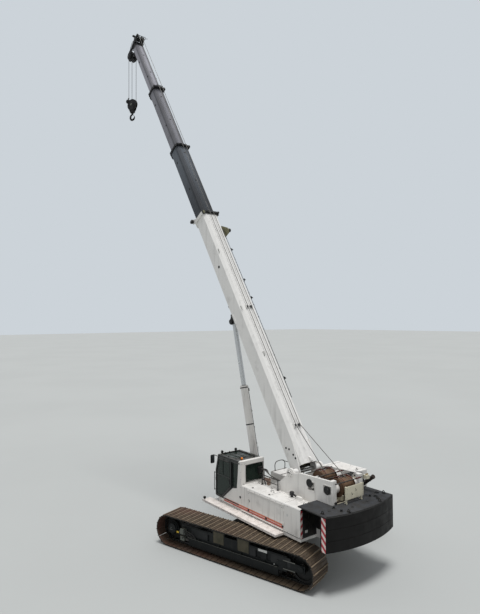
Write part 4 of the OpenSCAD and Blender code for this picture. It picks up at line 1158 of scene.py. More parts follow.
def cab_seals():
    """Seals round the panes: rear, left, right, front and roof."""
    seal = Shape("cab_seals", UPPER)
    right = ((430, 1900), (1674, 1900), (1674, 2250), (1564, 2723), (430, 2723))
    loops = (
        (11, [(CAB_REAR - 1, y, z) for y, z in rect(411, 2130, 1171, 2700)]),
        (5, [(x, HOUSE_Y - 2, z) for x, z in rect(360, 1900, 771, 2713)]),
        (6, [(x, CAB_IN + 3, z) for x, z in right]),
        (11, [(1802, y, z) for y, z in rect(436, 1448, 1301, 2245)]),
        (11, [(x, y, CAB_TOP) for x, y in rect(690, 476, 1574, 1261)]))
    for r, points in loops:
        seal.tube(ring(points, 45), r, rubber, closed=True, steps=4)
    roof_guard(seal)
    wiper(seal, 860, -1)
    wiper(seal, 520, 1)
    seal.done("upper", 0, slot="black_trim")


def left_mirror(out):
    out.tube([(1640, 1395, 2770), (1740, 1430, 2790), (1850, 1452, 2760), (1880, 1455, 2700),
              (1880, 1455, 2540)], 13, black, 10)
    out.prism(rounded(1372, 2480, 1540, 2790, 30), 1862, 1886, black, axis="x", inset=0.06)
    out.prism(rounded(1384, 2492, 1528, 2778, 24), 1860, 1862, mirror, axis="x")


def roof_lamps(out):
    """Two work lamps, the vent, the beacon and the aerial."""
    foot = CAB_TOP + 5
    for y in (560, 1180):
        out.tube([(1625, y, CAB_TOP), (1640, y, 2872)], 10, black, steps=1)
        at, way = (1650, y, 2890), (1, 0, -0.25)
        out.lathe([(30, -44), (48, -20), (54, 0), (54, 14), (48, 20), (0, 20)], at, way, black, 24)
        out.lathe([(46, 20), (40, 25), (0, 27)], at, way, lens, 24)
    out.lathe([(46, 0), (46, 14), (34, 18), (34, 66), (24, 82), (0, 86)], (480, 640, foot), UP, black, 28)
    out.lathe([(34, 18), (36, 22), (36, 64), (26, 80), (0, 84)], (480, 1180, foot), UP, amber, 28)
    out.lathe(disc(46, 16), (480, 1180, foot), UP, black, 28)
    out.tube([(400, 520, foot), (396, 516, 3040), (380, 510, 3230)], 3.5, black, 6)


def cab_rear_fittings(out):
    """Grabs, sill, bolts, the cover with its slots and the roof's drip bars."""
    grab(out, (270, 400, 2080), (270, 400, 2420), (-60, 0, 0), 12)
    grab(out, (1775, HOUSE_Y, 1560), (1775, HOUSE_Y, 2160), (38, 38, 0), 12)
    grab(out, (CAB_REAR, 1270, 1980), (CAB_REAR, 1270, 2080), (-34, 0, 0), 7)
    out.prism([(1714, 1361), (1714, 1341), (1840, 1341), (1840, 1361)], 430, 1300, cab_black, axis="y")
    out.box((330, 420, 2100), (334, 1165, 2128), rubber)
    spots = [(CAB_REAR, y, z) for y in (392, 1205, 1345) for z in (1420, 1700, 2060, 2760)]
    out.bolts(spots, BACK, 7, dark_steel)
    out.prism(rounded(520, 1500, 1150, 1980, 30), CAB_REAR - 3, CAB_REAR, white, axis="x")
    for z in (1560, 1600, 1640, 1680):
        out.prism(rect(620, z, 1050, z + 12), CAB_REAR - 7, CAB_REAR - 3, black, axis="x")
    for x in (900, 1250, 1600):
        out.prism(rect(x - 12, 2780, x + 12, 2800), 1371, 1404, black, axis="y")


def cab_outside():
    out = Shape("cab_fittings", UPPER)
    left_mirror(out)
    roof_lamps(out)
    cab_rear_fittings(out)
    for k, y in enumerate((520, 570, 612)):
        out.tube([(190, y, 2480 - 40 * k), (150, y, 2500), (-60, y - 20, 2500), (-300, 600, 2415),
                  (-580, 604 + 10 * k, 2370), (-880, 640, 2360), (-1180, 652, 2335 - 20 * k)], 15, hose)
    out.prism(rounded(480, 2360, 660, 2560, 16), 190, CAB_REAR - 1, black, axis="x")
    out.done("upper", 2, 1, slot="black_trim")


def armrests(room):
    """The armrests with a lever on each."""
    for y in (SEAT_Y - 300, SEAT_Y + 300):
        foot, way = (1060, y, 1885), (0.12, 0, 1)
        room.prism(rounded(y - 42, 1840, y + 42, 1885, 14), 760, 1110, rubber, axis="x")
        room.box((880, y - 24, FLOOR_Z + 120), (960, y + 24, 1842), grey_plastic)
        room.lathe([(40, 0), (34, 14), (26, 20), (18, 40), (10, 46), (10, 120)], foot, way, rubber, 20)
        room.lathe([(10, 116), (24, 128), (30, 160), (28, 200), (18, 222), (0, 226)], foot, way, grey_plastic,
                   20)


def seat(room):
    """Headrest, cushions, foot and bellows."""
    mid, floor = SEAT_Y, FLOOR_Z
    room.prism(rounded(mid - 130, 2395, mid + 130, 2560, 40), 640, 730, seat_cloth, axis="x")
    for y in (mid - 60, mid + 60):
        room.rod((690, y, 2360), (690, y, 2410), 8, machined, 10)
    room.prism(rounded(mid - 205, 1895, mid + 205, 2345, 60), 740, 790, seat_cloth, axis="x", inset=0.06)
    room.prism(rounded(780, mid - 205, 1130, mid + 205, 60), 1824, 1862, seat_cloth, inset=0.06)
    room.prism(rounded(mid - 190, floor, mid + 190, floor + 60, 20), 700, 1080, black, axis="x")
    for z in range(floor + 62, floor + 162, 20):
        room.prism(rounded(mid - 175, z, mid + 175, z + 14, 6), 715, 1065, rubber, axis="x")


def pedals(room):
    """Two pedals and the two drive levers."""
    mid, floor = SEAT_Y, FLOOR_Z
    plate = [(1500, floor + 20), (1620, floor + 150), (1628, floor + 142), (1510, floor + 12)]
    for y in (mid - 140, mid + 60):
        room.prism(plate, y, y + 80, rubber, axis="y")
        room.rod((1560, y + 40, floor), (1565, y + 40, floor + 80), 12, machined, 10)
    for y in (mid - 60, mid - 10):
        room.tube([(1480, y, floor), (1470, y, floor + 300), (1430, y, floor + 470)], 9, machined)
        knob = [(0, 0), (20, 8), (24, 30), (16, 54), (0, 58)]
        room.lathe(knob, (1430, y, floor + 460), (-0.2, 0, 1), rubber, 16)


def dashboard(room):
    """The display and the panel of switches."""
    room.tube([(1380, 590, 2040), (1420, 600, 2120), (1400, 640, 2200)], 12, black)
    room.prism(rounded(540, 2140, 780, 2330, 16), 1385, 1420, grey_plastic, axis="x")
    room.prism(rounded(556, 2156, 764, 2314, 8), 1383, 1385, screen, axis="x")
    room.prism(rounded(1310, 496, 1450, 696, 18), 2044, 2060, grey_plastic)
    for i in range(3):
        for j in range(4):
            mat = (red_paint, lens, rubber)[(i + j) % 3]
            room.lathe([(11, 0), (11, 8), (0, 9)], (1335 + 42 * i, 520 + 46 * j, 2060), UP, mat, 12)


def cab_inside():
    room = Shape("cab_interior", UPPER)
    armrests(room)
    seat(room)
    pedals(room)
    dashboard(room)
    room.prism(rounded(440, 430, 1680, 1290, 30), FLOOR_Z, FLOOR_Z + 8, rubber)
    room.prism(rounded(430, 1424, 1300, 1830, 30), 345, 400, grey_plastic, axis="x")
    room.lathe(cap(50, 22, 30, 34), (520, 1250, 2640), (0, -1, -0.4), grey_plastic, 20)
    room.done("upper", 3, 2, slot="grey_plastic")


def door_trim():
    door, y = Shape("cab_door_trim", UPPER), HOUSE_Y + 40
    pane = ((871, 1880), (1386, 1440), (1684, 1440), (1684, 2255), (1544, 2693), (871, 2693))
    door.tube(ring([(x, y, z) for x, z in pane], 40), 11, rubber, closed=True, steps=4)
    door.prism(rect(871, 2150, 1684, 2172), y - 10, y + 2, cab_black, axis="y")
    door.prism(rect(1285, 2172, 1305, 2693), y - 12, y + 1, rubber, axis="y")
    grab(door, (845, y, 1990), (845, y, 2160), (0, 42, 0), 11)
    door.prism(rounded(1690, 1905, 1738, 2060, 12), y, y + 10, black, axis="y")
    door.lathe([(14, 0), (14, 6), (0, 7)], (1714, y + 10, 2030), LEFT, machined, 16)
    for x in (900, 1240, 1560):
        door.lathe(cap(26, 14, 10, 18), (x, y, 2728), LEFT, dark_steel, 20)
    for x in (1400, 1690):
        door.lathe(cap(22, 12, 8, 16), (x, y, 1408), LEFT, dark_steel, 20)
    door.done("cab_door", 1.5, 1, slot="cab_black")


def rails():
    rail = Shape("rail_fittings", UPPER)
    y, top = 755, HOUSE_TOP
    for x in (-100, -900):
        rail.lathe([(48, 0), (48, 8), (26, 12), (22, 34), (0, 34)], (x, y, top), UP, black, 20)
        rail.bolts([(x + u, y + v, top + 8) for u, v in circle(4, 36, 45)], UP, 6, dark_steel)
    rail.rod((-900, y, top + 165), (-100, y, top + 165), 12, black, 12)
    for x, way in ((-917, BACK), (-83, AHEAD)):
        rail.lathe([(17, 0), (14, 10), (0, 14)], (x, y, top + 330), way, black, 16)
    rail.done("upper", 1, 1, slot="black_trim")


cab_side()
cab_seals()
cab_outside()
cab_inside()
door_trim()
rails()


# Winches and their frame

# Each drum with its middle as (x, z), the radii of its flange and its core, and its rope's place across
DRUMS = {"main_winch": ((-2290, 2640), 290, 242, 92), "aux_winch": ((-3020, 2600), 270, 220, -92)}
ROPE_LINE = HEAD_TOP[1] + IDLER_R
GUIDE_AT = 1400
FRAME_SIDE, FRAME_IN, FRAME_REAR = 695, 620, -3216


def boom_spot(s, y, n):
    """A point of the boom's frame in the upper's."""
    c, q = cos(BOOM_ANGLE), sin(BOOM_ANGLE)
    return Vector((FOOT.x + s * c - n * q, y, FOOT.z + s * q + n * c))


def windings(name):
    """Rope wound on a drum, and the drum's flanges with their bolts."""
    (x, z), flange, core, _ = DRUMS[name]
    drum = Shape(name + "_rope", UPPER @ Matrix.Translation((x, 0, z)))
    half, r, steps = 246, ROPE_R, 40
    turns = int(2 * half / (2 * r + 0.8))
    path = []
    for i in range(turns * steps + 1):
        a = 2 * pi * i / steps
        path.append(((core + r) * cos(a), -half + 2 * half * i / (turns * steps), (core + r) * sin(a)))
    drum.tube(path, r, drum_rope, 6, steps=1)
    for e in (-1, 1):
        drum.lathe([(flange + 1, 0), (flange + 4, 4), (flange + 4, 26), (flange - 14, 30), (flange - 16, 22),
                    (120, 22)], (0, e * 254, 0), (0, e, 0), rusty, 48)
        drum.bolts([(u, e * 276, w) for u, w in circle(12, 190)], (0, e, 0), 13, dark_steel)
    drum.done(name, 0, slot="winch_rope")


def drum_bearings(fit, x, z):
    """A drum's bearings inside the winch frame, black as painted shade for the dark behind the frame's
    openings, and their caps outside where they can be seen.
    """
    for e in (-1, 1):
        fit.lathe([(150, 0), (150, 16), (118, 20), (112, 34), (60, 38), (54, 30), (0, 30)],
                  (x, e * FRAME_IN, z), (0, -e, 0), black, 32)
        if e > 0 or x < -2800:
            fit.lathe([(128, 0), (128, 14), (112, 18), (70, 18), (64, 28), (0, 28)], (x, e * FRAME_SIDE, z),
                      (0, e, 0), dark_steel, 36)
            spots = [(x + u, e * 713, z + w) for u, w in circle(8, 96, 22)]
            fit.bolts(spots, (0, e, 0), 10, dark_steel)


def drum_guards(fit, x, z, flange):
    """Red guard bars over a drum and the cross bars before and behind it."""
    for y in (-180, 180):
        r = flange + 36
        bar = [(x + r * cos(radians(a)), y, z + r * sin(radians(a))) for a in range(38, 143, 8)]
        fit.tube(bar, 13, guard_red)
    for at in (x + 250, x - 250):
        fit.rod((at, -600, z + 222), (at, 600, z + 222), 17, black, 12)
    for y in range(-520, -300, 40):
        fit.rod((x - 250, y, z + 222), (x - 250, y + 24, z + 222), 24, guard_red, 12)


def winch_motor(fit):
    """The auxiliary winch's motor with its valve and hoses, and the two cream boxes beside it."""
    fit.lathe([(110, 0), (118, 12), (118, 90), (96, 100), (96, 190), (80, 214), (0, 218)],
              (-3020, -713, 2600), RIGHT, black, 32)
    fit.prism(rounded(-3110, 2690, -2950, 2780, 14), -900, -760, grey_valve, axis="y")
    for k in range(3):
        fit.tube([(-3090 + 50 * k, -830, 2780), (-3080 + 50 * k, -830, 2860),
                  (-2960 + 40 * k, -700, 2880 - 10 * k), (-2900 + 50 * k, -560, 2820),
                  (-2760, -420 - 40 * k, 2380)], 14, hose)
    fit.prism(rounded(-3170, -690, -2990, -510, 14), 2700, 2790, cream)
    fit.prism(rounded(-3150, -680, -3010, -520, 14), 2790, 2830, black)
    for x in range(-3160, -3000, 44):
        fit.rod((x, -600, 2790), (x, -600, 2862), 15, machined, 10)
    fit.prism(rounded(-3350, -880, -3220, -730, 12), 2740, 2850, cream)
    for y in (-860, -814, -768):
        fit.rod((-3285, y, 2850), (-3285, y, 2890), 14, brass, 10)


def frame_side(fit, e):
    """Rims round the winch frame's openings, and the boom's foot pin with its cap, bolts and lock plate."""
    side, out = e * FRAME_SIDE, (0, e, 0)
    y0, y1 = sorted((side, side + e * 10))
    for opening in ((-2500, 2440, -2231, 2700), (-3180, 2500, -2880, 2740)):
        if e > 0 or opening[0] < -3000:
            for x0, z0, x1, z1 in border(*opening, 16):
                fit.box((x0, y0, z0), (x1, y1, z1), white_frame)
    fit.lathe([(120, 0), (120, 14), (74, 18), (66, 40), (52, 46), (0, 46)], (FOOT.x, side, FOOT.z), out,
              white_frame if e > 0 else black, 36)
    fit.bolts([(FOOT.x + u, side + e * 14, FOOT.z + w) for u, w in circle(6, 96)], out, 10, dark_steel)
    plate = rect(FOOT.x - 70, FOOT.z + 30, FOOT.x + 70, FOOT.z + 60)
    fit.prism(plate, *sorted((side + e * 46, side + e * 56)), black, axis="y")


def frame_inside(fit):
    """Caps and bolts on the winch frame, and the hoses and blocks between its plates."""
    for z in (2120, 2250):
        fit.rod((FRAME_REAR, 560, z), (FRAME_REAR - 34, 560, z), 40, black, 16)
    fit.lathe(cap(90, 10, 60, 16), (FRAME_REAR, -560, 2420), BACK, black, 24)
    fit.bolts([(x, FRAME_SIDE, 2120) for x in (-1700, -1400, -1000, -640)], LEFT, 12, white_frame)
    for y in (-300, 0, 300):
        fit.tube([(-1190, y, 1500), (-1000, y + 20, 1480), (-700, y * 0.6, 1560), (-300, y * 0.4, 1420)], 18,
                 hose)
    fit.prism(rounded(-2140, -560, -1700, -200, 30), 2020, 2200, black)
    fit.prism(rounded(-2140, 200, -1760, 560, 30), 2020, 2180, brown_dark)
    for k in range(5):
        fit.tube([(-1900 - 50 * k, -380, 2200), (-1880 - 50 * k, -300, 2290), (-2000, 300, 2270 + 8 * k),
                  (-1900 - 40 * k, 380, 2180)], 14, hose)


def winch_fittings():
    fit = Shape("winch_fittings", UPPER)
    for (x, z), flange, _, _ in DRUMS.values():
        drum_bearings(fit, x, z)
        drum_guards(fit, x, z, flange)
    winch_motor(fit)
    for e in (-1, 1):
        frame_side(fit, e)
    frame_inside(fit)
    fit.done("upper", 2, 1, slot="white_paint")


def winch_bay():
    """The cream floor between the drums, its beams and the valve blocks on it."""
    floor = Shape("winch_bay", UPPER)
    floor.prism(rounded(-3150, -600, -1260, 600, 30), 1900, 1920, cream)
    for x in (-2900, -2600, -1800, -1500):
        floor.box((x - 30, -600, 1920), (x + 30, 600, 1960), brown_dark)
    for y in (-590, 560):
        floor.box((-3150, y, 1960), (-1260, y + 30, 2240), brown_dark)
    for x, y in ((-2700, 420), (-2560, -420), (-1640, 0)):
        floor.prism(rounded(x - 90, y - 70, x + 90, y + 70, 20), 1960, 2110, cream, inset=0.08)
        for k in range(3):
            floor.tube([(x - 50 + 50 * k, y, 2100), (x - 50 + 50 * k, y, 2200), (x + 80 * k, y * 0.5, 2250),
                        (x + 200, y * 0.2, 2130)], 12, hose, 6)
    floor.done("upper", 2, 1, slot="cream_paint")


def rear_plate():
    plate = Shape("rear_plate_fittings", UPPER)
    for y in (-415, 275):
        plate.bolts([(-3420, y, z) for z in (2380, 2520, 2660)], BACK, 9, dark_steel)
        plate.box((-3418, y - 25, 2212), (-3330, y + 25, 2230), cream)
    plate.prism(rounded(-470, 2345, 320, 2705, 20), -3424, -3420, cream, axis="x")
    plate.rod((-3404, -490, 2700), (-3404, 340, 2700), 16, cream, 10)
    for y, z in ((-120, 2540), (60, 2450)):
        plate.tube([(-3424, y, z), (-3450, y + 5, z + 30), (-3424, y + 20, z + 70)], 7, black, 6)
    plate.done("upper", 1.5, 1, slot="cream_paint")


def exhaust():
    pipe, lean = Shape("exhaust_fittings", UPPER), radians(52)
    at, way = Vector((-2867, -1200, 2420)), Vector((-sin(lean), 0, cos(lean)))
    for t in (70, 250, 430):
        pipe.lathe([(63, 0), (70, 4), (70, 24), (63, 28)], at + way * t, way, dark_steel, 28)
    pipe.lathe([(62, 0), (66, 2), (66, 8), (56, 8), (54, -60)], at + way * 474, way, exhaust_black, 28)
    x = BANK_REAR
    pipe.prism([(x, 2290), (-2900, 2350), (-2900, 2364), (x, 2320)], -1230, -1170, black, axis="y")
    pipe.lathe([(95, 0), (95, 8), (66, 12)], (x, -1200, 2420), BACK, dark_steel, 28)
    pipe.done("upper", 1, 1, slot="black_trim")


def drum_ropes():
    """The two ropes from the tops of the drums to the guide rollers on the boom."""
    for name, ((x, z), _, core, y) in DRUMS.items():
        rope = Shape(name + "_line", UPPER)
        end, r = boom_spot(GUIDE_AT, y, ROPE_LINE), core + ROPE_R
        run = Vector((end.x - x, 0, end.z - z))
        ahead = run / run.length
        side = Vector((-ahead.z, 0, ahead.x))
        lean = asin(r / run.length)
        touch = (side * cos(lean) + ahead * sin(lean)) * r
        start = Vector((x, 0, z)) + touch + Vector((0, y, 0))
        rope.tube([start, end], ROPE_R, rope_wire, steps=1)
        line = rope.done(None, 0, slot="wire_rope")
        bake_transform(line)


for drum_name in DRUMS:
    windings(drum_name)
winch_fittings()
winch_bay()
rear_plate()
exhaust()
drum_ropes()


# Boom, hoist ropes, head, block and lift cylinder

# Each section's width, with its top and bottom from the foot pin's line
SECTIONS = {"boom_base": (720, 385, -510), "boom_inner": (640, 323, -448), "boom_outer": (560, 261, -386),
            "boom_tip": (480, 199, -324)}
HEAD_RUN = (HEAD_LOW[0] - HEAD_TOP[0], HEAD_LOW[1] - HEAD_TOP[1])
WRAP = degrees(atan2(HEAD_RUN[1], HEAD_RUN[0])) + degrees(acos((IDLER_R - SHEAVE_R) / hypot(*HEAD_RUN)))
TILT = degrees(BOOM_ANGLE)


def arc(centre, r, a0, a1, y, step=6):
    """Points of an arc in the boom's plane or one like it, from a0 to a1 degrees."""
    n = max(2, int(abs(a1 - a0) / step))
    turns = [radians(a0 + (a1 - a0) * i / n) for i in range(n + 1)]
    return [(centre[0] + r * cos(a), y, centre[1] + r * sin(a)) for a in turns]


def boom_ropes():
    """The two hoist ropes along each section, thinner inward so that they slide inside one another."""
    runs = (("boom_base", GUIDE_AT, BASE_END, 0.0), ("boom_inner", 7000, INNER_END, 0.4),
            ("boom_outer", 11030, OUTER_END, 0.8), ("boom_tip", 15200, HEAD_TOP[0], 1.2))
    for body, a, b, thin in runs:
        rope = Shape("rope_on_" + body, BOOM)
        for y in (FALL_Y, -FALL_Y):
            rope.tube([(a, y, ROPE_LINE), (b, y, ROPE_LINE)], ROPE_R - thin, rope_wire, steps=1)
        rope.done(body, 0, slot="wire_rope")


def rope_over_head():
    """The hoist rope round the idler and the head sheave, and the auxiliary rope to its socket."""
    over, y, x = Shape("rope_over_head", BOOM), -FALL_Y, HEAD_TOP[0] + IDLER_R
    path = arc(HEAD_TOP, IDLER_R, 90, WRAP, FALL_Y) + arc(HEAD_LOW, SHEAVE_R, WRAP, -TILT, FALL_Y)
    over.tube(path, ROPE_R - 1, rope_wire, steps=1)
    over.tube(arc(HEAD_TOP, IDLER_R, 90, 0, y) + [(x, y, 60)], ROPE_R - 1, rope_wire, steps=1)
    over.prism([(x - 26, 80), (x + 26, 80), (x + 34, -70), (x - 10, -90)], y - 28, y + 28, dark_steel,
               axis="y")
    over.rod((x + 12, -188, -50), (x + 12, 188, -50), 20, machined, 14)
    over.done("boom_tip", 0, slot="wire_rope")


def falls():
    """The hoist rope from the head's sheaves round the block's sheave and to the wedge socket."""
    drop = UPPER @ Matrix.Translation(FALL_TOP)
    bend = Shape("rope_on_sheaves", drop)
    bend.tube(arc((0, 0), SHEAVE_R, 0, TILT + WRAP, FALL_Y), ROPE_R - 0.5, rope_wire, steps=1)
    bend.tube(arc((0, 0), SHEAVE_R, 0, 180, -FALL_Y), ROPE_R - 0.5, rope_wire, steps=1)
    bend.done("hoist_line", 0, slot="wire_rope")
    line = Shape("falls", drop)
    for x, y, low in ((SHEAVE_R, FALL_Y, 0), (-SHEAVE_R, -FALL_Y, 0), (SHEAVE_R, -FALL_Y, 200)):
        line.rod((x, y, 0), (x, y, -FALL_L + low), ROPE_R, rope_wire, 10)
    rope = line.done(None, 0, slot="wire_rope")
    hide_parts("hoist_falls")
    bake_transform(rope)
    under = Shape("rope_under_block", BLOCK)
    under.tube(arc((0, 0), BLOCK_R, 0, -180, 0), ROPE_R - 0.5, rope_wire, steps=1)
    under.done("hook_block", 0, slot="wire_rope")


def section_edge(body, grow):
    """The section's outline grown by some millimetres, as [across, normal], as drawn for the solids."""
    w, top, low = SECTIONS[body]
    h, c, d = w / 2 + grow, w * 0.13, w * 0.34
    top, low = top + grow, low - grow
    return [(-h + c, top), (h - c, top), (h, top - c), (h, low + d), (h - d, low), (-h + d, low),
            (-h, low + d), (-h, top - c)]


def collar_bolts(fit, body, mid, end, mat):
    """Bolts round a collar, and nuts on its front face."""
    _, top, low = SECTIONS[body]
    edge = section_edge(body, 40)
    for (a, b), (c, d) in zip(edge, edge[1:] + edge[:1]):
        run = hypot(c - a, d - b)
        out = Vector((0, d - b, a - c)) / run
        if out.y * (a + c) + out.z * (b + d - (top + low)) < 0:
            out = -out
        n = int(run / 130)
        for k in range(n):
            t = (k + 0.5) / n
            y, z = a + (c - a) * t, b + (d - b) * t
            fit.bolt((mid, y, z), out, 13, boom_black if z > top - 60 else mat)
            fit.lathe(disc(20, 9), (end, y - out.y * 20, z - out.z * 20), AHEAD, dark_steel, 6)


def collar_guides(fit, body, end, deep, bar):
    """The bar on a collar's top, its end block and the roller that carries the ropes."""
    w, top, _ = SECTIONS[body]
    roller, base, over = ROPE_LINE - ROPE_R - 26, top + 73, min(top + 118, ROPE_LINE - 75)
    fit.prism([(end - deep + 6, top + 36), (end - 4, top + 36), (end - 4, over - 12), (end - 14, over),
               (end - deep + 30, over), (end - deep + 6, over - 16)], -w / 2 + 60, w / 2 + 10, bar, axis="y")
    block = rect(end - deep, top - 30, end - 2, over + 4)
    fit.prism(block, -w / 2 - 48, -w / 2 + 60, boom_black, axis="y", inset=0.08)
    fit.rod((end - 60, -150, roller), (end - 60, 150, roller), 22, grey_plastic)
    cheek = taper(end - 95, end - 25, base - 4, end - 85, end - 35, roller + 26)
    for y in (-158, -8, 150):
        fit.prism(cheek, y, y + 8, boom_black, axis="y")


def collar_fittings():
    for body, end, deep, mat, bar in (("boom_base", BASE_END, 150, white_boom, olive_paint),
                                      ("boom_inner", INNER_END, 110, dark_steel, boom_black),
                                      ("boom_outer", OUTER_END, 130, dark_steel, boom_black)):
        fit = Shape("collar_fittings_" + body, BOOM)
        collar_bolts(fit, body, end - deep / 2 - 20, end, mat)
        collar_guides(fit, body, end, deep, bar)
        fit.done(body, 2, 1, slot="black_boom")


def base_guides(fit):
    """The two rollers that carry the ropes along the base section."""
    top, z = SECTIONS["boom_base"][1], ROPE_LINE - ROPE_R - 34
    for s in (GUIDE_AT, 6200):
        for y in (-150, 134):
            fit.prism(taper(s - 90, s + 90, top, s - 40, s + 40, ROPE_LINE - 14), y, y + 16,
                      white_boom, axis="y")
        for y in (-FALL_Y, FALL_Y):
            fit.lathe([(30, -40), (42, -34), (34, 0), (42, 34), (30, 40), (0, 40)], (s, y, z), LEFT,
                      grey_plastic, 24)
        fit.rod((s, -140, z), (s, 140, z), 12, machined, 12)


def base_front(fit):
    """The two black drums on their brackets near the base section's front."""
    fit.lathe([(0, -60), (70, -56), (92, -30), (92, 30), (70, 56), (0, 60)], (11090, 440, -420), (0.4, 1, 0),
              black, 32)
    fit.prism([(10860, -200), (11070, -200), (11190, -420), (11150, -500), (10990, -470)], 361, 389,
              white_boom, axis="y")
    fit.rod((11120, 372, -470), (11120, 470, -470), 18, dark_steel, 14)
    fit.prism([(9760, 250), (10330, 250), (10330, 330), (10010, 600), (9880, 640), (9760, 560)], -398, -360,
              olive_paint, axis="y")
    fit.prism(taper(9860, 10120, -398, 9900, 10060, -520), 440, 464, olive_paint)
    fit.lathe([(0, -46), (74, -42), (84, 0), (74, 42), (0, 46)], (9900, -452, 560), LEFT, black, 28)
    fit.rod((9900, -520, 560), (9900, -380, 560), 22, dark_steel, 14)
    fit.bolts([(s, -398, 300) for s in (9850, 10240)], RIGHT, 13, dark_steel)


def base_top(fit):
    """Brackets and the pipe along the base section's top."""
    top = SECTIONS["boom_base"][1]
    for s in (8985, 7472, 6620, 3150):
        fit.prism(taper(s - 60, s + 60, top, s - 40, s + 40, 452), -320, -304, dark_steel, axis="y")
        fit.rod((s - 20, -350, 440), (s - 20, -280, 440), 20, dark_steel, 12)
        fit.bolt((s, -304, 415), LEFT, 11, dark_steel)
    fit.tube([(2600, -296, 380), (2660, -296, 395), (6000, -296, 395), (9800, -296, 395), (9860, -296, 380)],
             10, black)
    for s in range(3000, 9700, 550):
        fit.box((s - 12, -312, top), (s + 12, -280, 408), dark_steel)


def base_sides(fit):
    """Plugs, plate, eyes and discs on the base section's sides, and the hose on its right."""
    fit.lathe([(56, 0), (56, 6), (40, 9), (34, 3), (0, 3)], (8320, 360, 52), LEFT, black, 28)
    fit.lathe([(50, -4), (50, 16), (34, 22), (0, 22)], (6700, 237, -388), (0, 1, -1), black, 20)
    fit.prism(rounded(5780, -250, 6240, -150, 30), 360, 368, white_boom, axis="y", inset=0.05)
    for s, y, n, lean in ((8925, 311, 334, 0.7), (6175, 311, 334, 0.7), (4165, 180, 381, 0.0)):
        fit.tube([(s + a, y + lean * b, n + b) for a, b in bow(80, 74, 36, 52)], 10, grey_valve)
    for s, n in ((843, -60), (754, 57), (529, 150), (396, 190)):
        fit.lathe([(34, 0), (34, 8), (22, 10), (20, 24), (0, 24)], (s, 400, n), LEFT, dark_steel, 20)
    for s in (3600, 5500, 7400, 9300):
        for e in (-1, 1):
            fit.lathe(cap(30, 5, 16, 7), (s, e * 360, -120), (0, e, 0), white_boom, 20)
    fit.tube([(760, -404, 40), (1400, -372, -10), (3200, -366, -30), (5600, -366, -60), (6080, -372, -250),
              (6120, -372, -330)], 12, hose)
    for s in (1400, 2300, 3200, 4100, 5000, 5600):
        rise = (5600 - s) * 0.006
        fit.box((s - 22, -384, -62 + rise), (s + 22, -360, -20 + rise), dark_steel)


def base_foot(fit):
    """The telescoping cylinder's end in the open foot, the lugs' gussets and covers, and the stop on top."""
    fit.rod((150, 0, -60), (4200, 0, -60), 120, olive_paint, 32)
    fit.rod((140, -300, -60), (140, 300, -60), 45, dark_steel, 20)
    for e in (-1, 1):
        fit.box((130, e * 150 - 12, -200), (420, e * 150 + 12, 60), brown_dark)
        fit.prism(taper(6110, 6400, -560, 6080, 6440, -508), e * 130 - 45, e * 130 + 45, black,
                  axis="y")
        fit.lathe(cap(96, 10, 62, 14), (6200, e * 180, -670), (0, e, 0), black, 28)
        spots = [(6200 + u, e * 190, -670 + w) for u, w in circle(4, 76, 45)]
        fit.bolts(spots, (0, e, 0), 9, dark_steel)
    fit.prism(taper(125, 330, 385, 150, 250, 470), -40, 40, white_boom, axis="y")


def base_fittings():
    fit = Shape("boom_base_fittings", BOOM)
    base_guides(fit)
    base_front(fit)
    base_top(fit)
    base_sides(fit)
    base_foot(fit)
    fit.done("boom_base", 2.5, 1, slot="white_paint")


def section_marks():
    """Round black plugs on the sliding sections' sides and tops."""
    side, top = [(48, 0), (48, 3), (36, 6), (30, 1), (0, 1)], cap(42, 3, 24, 5)
    for body, y, spots in (("boom_inner", 320, ((12574, 57), (14300, -60))),
                           ("boom_outer", 280, ((16640, 110), (18300, -60))),
                           ("boom_tip", 240, ((20300, 120), (21700, -60)))):
        mark = Shape("marks_" + body, BOOM)
        for s, n in spots:
            for e in (-1, 1):
                mark.lathe(side, (s, e * y, n), (0, e, 0), black, 24)
            mark.lathe(top, (s + 350, 20, SECTIONS[body][1]), UP, black, 24)
        mark.done(body, 0, slot="black_boom")


def head_side(fit, e):
    """Pin caps with their bolts, plates and the hose on one side of the head."""
    tip, y, out = TIP_END, e * 212, (0, e, 0)
    for (s, n), r in ((HEAD_LOW, 100), (HEAD_TOP, 84)):
        fit.lathe(cap(r, 12, r * 0.6, 16), (s, y, n), out, dark_steel, 28)
        fit.bolts([(s + u, y + e * 12, n + w) for u, w in circle(6, r * 0.78)], out, 8, dark_steel)
    fit.prism(taper(tip - 20, tip + 30, -320, tip - 20, tip + 90, -520), *sorted((y, y + e * 20)),
              boom_black, axis="y")
    fit.prism(taper(tip - 26, tip + 250, 250, tip - 26, tip + 262, 205), *sorted((y, y + e * 26)),
              boom_black, axis="y")
    fit.prism(taper(tip - 28, tip + 20, 210, tip - 28, tip + 20, -330), *sorted((e * 188, e * 262)),
              boom_black, axis="y")
    fit.tube([(tip + 20, e * 214, 120), (tip + 180, e * 260, 60), (tip + 190, e * 240, -260),
              (tip + 120, e * 216, -520)], 10, hose)


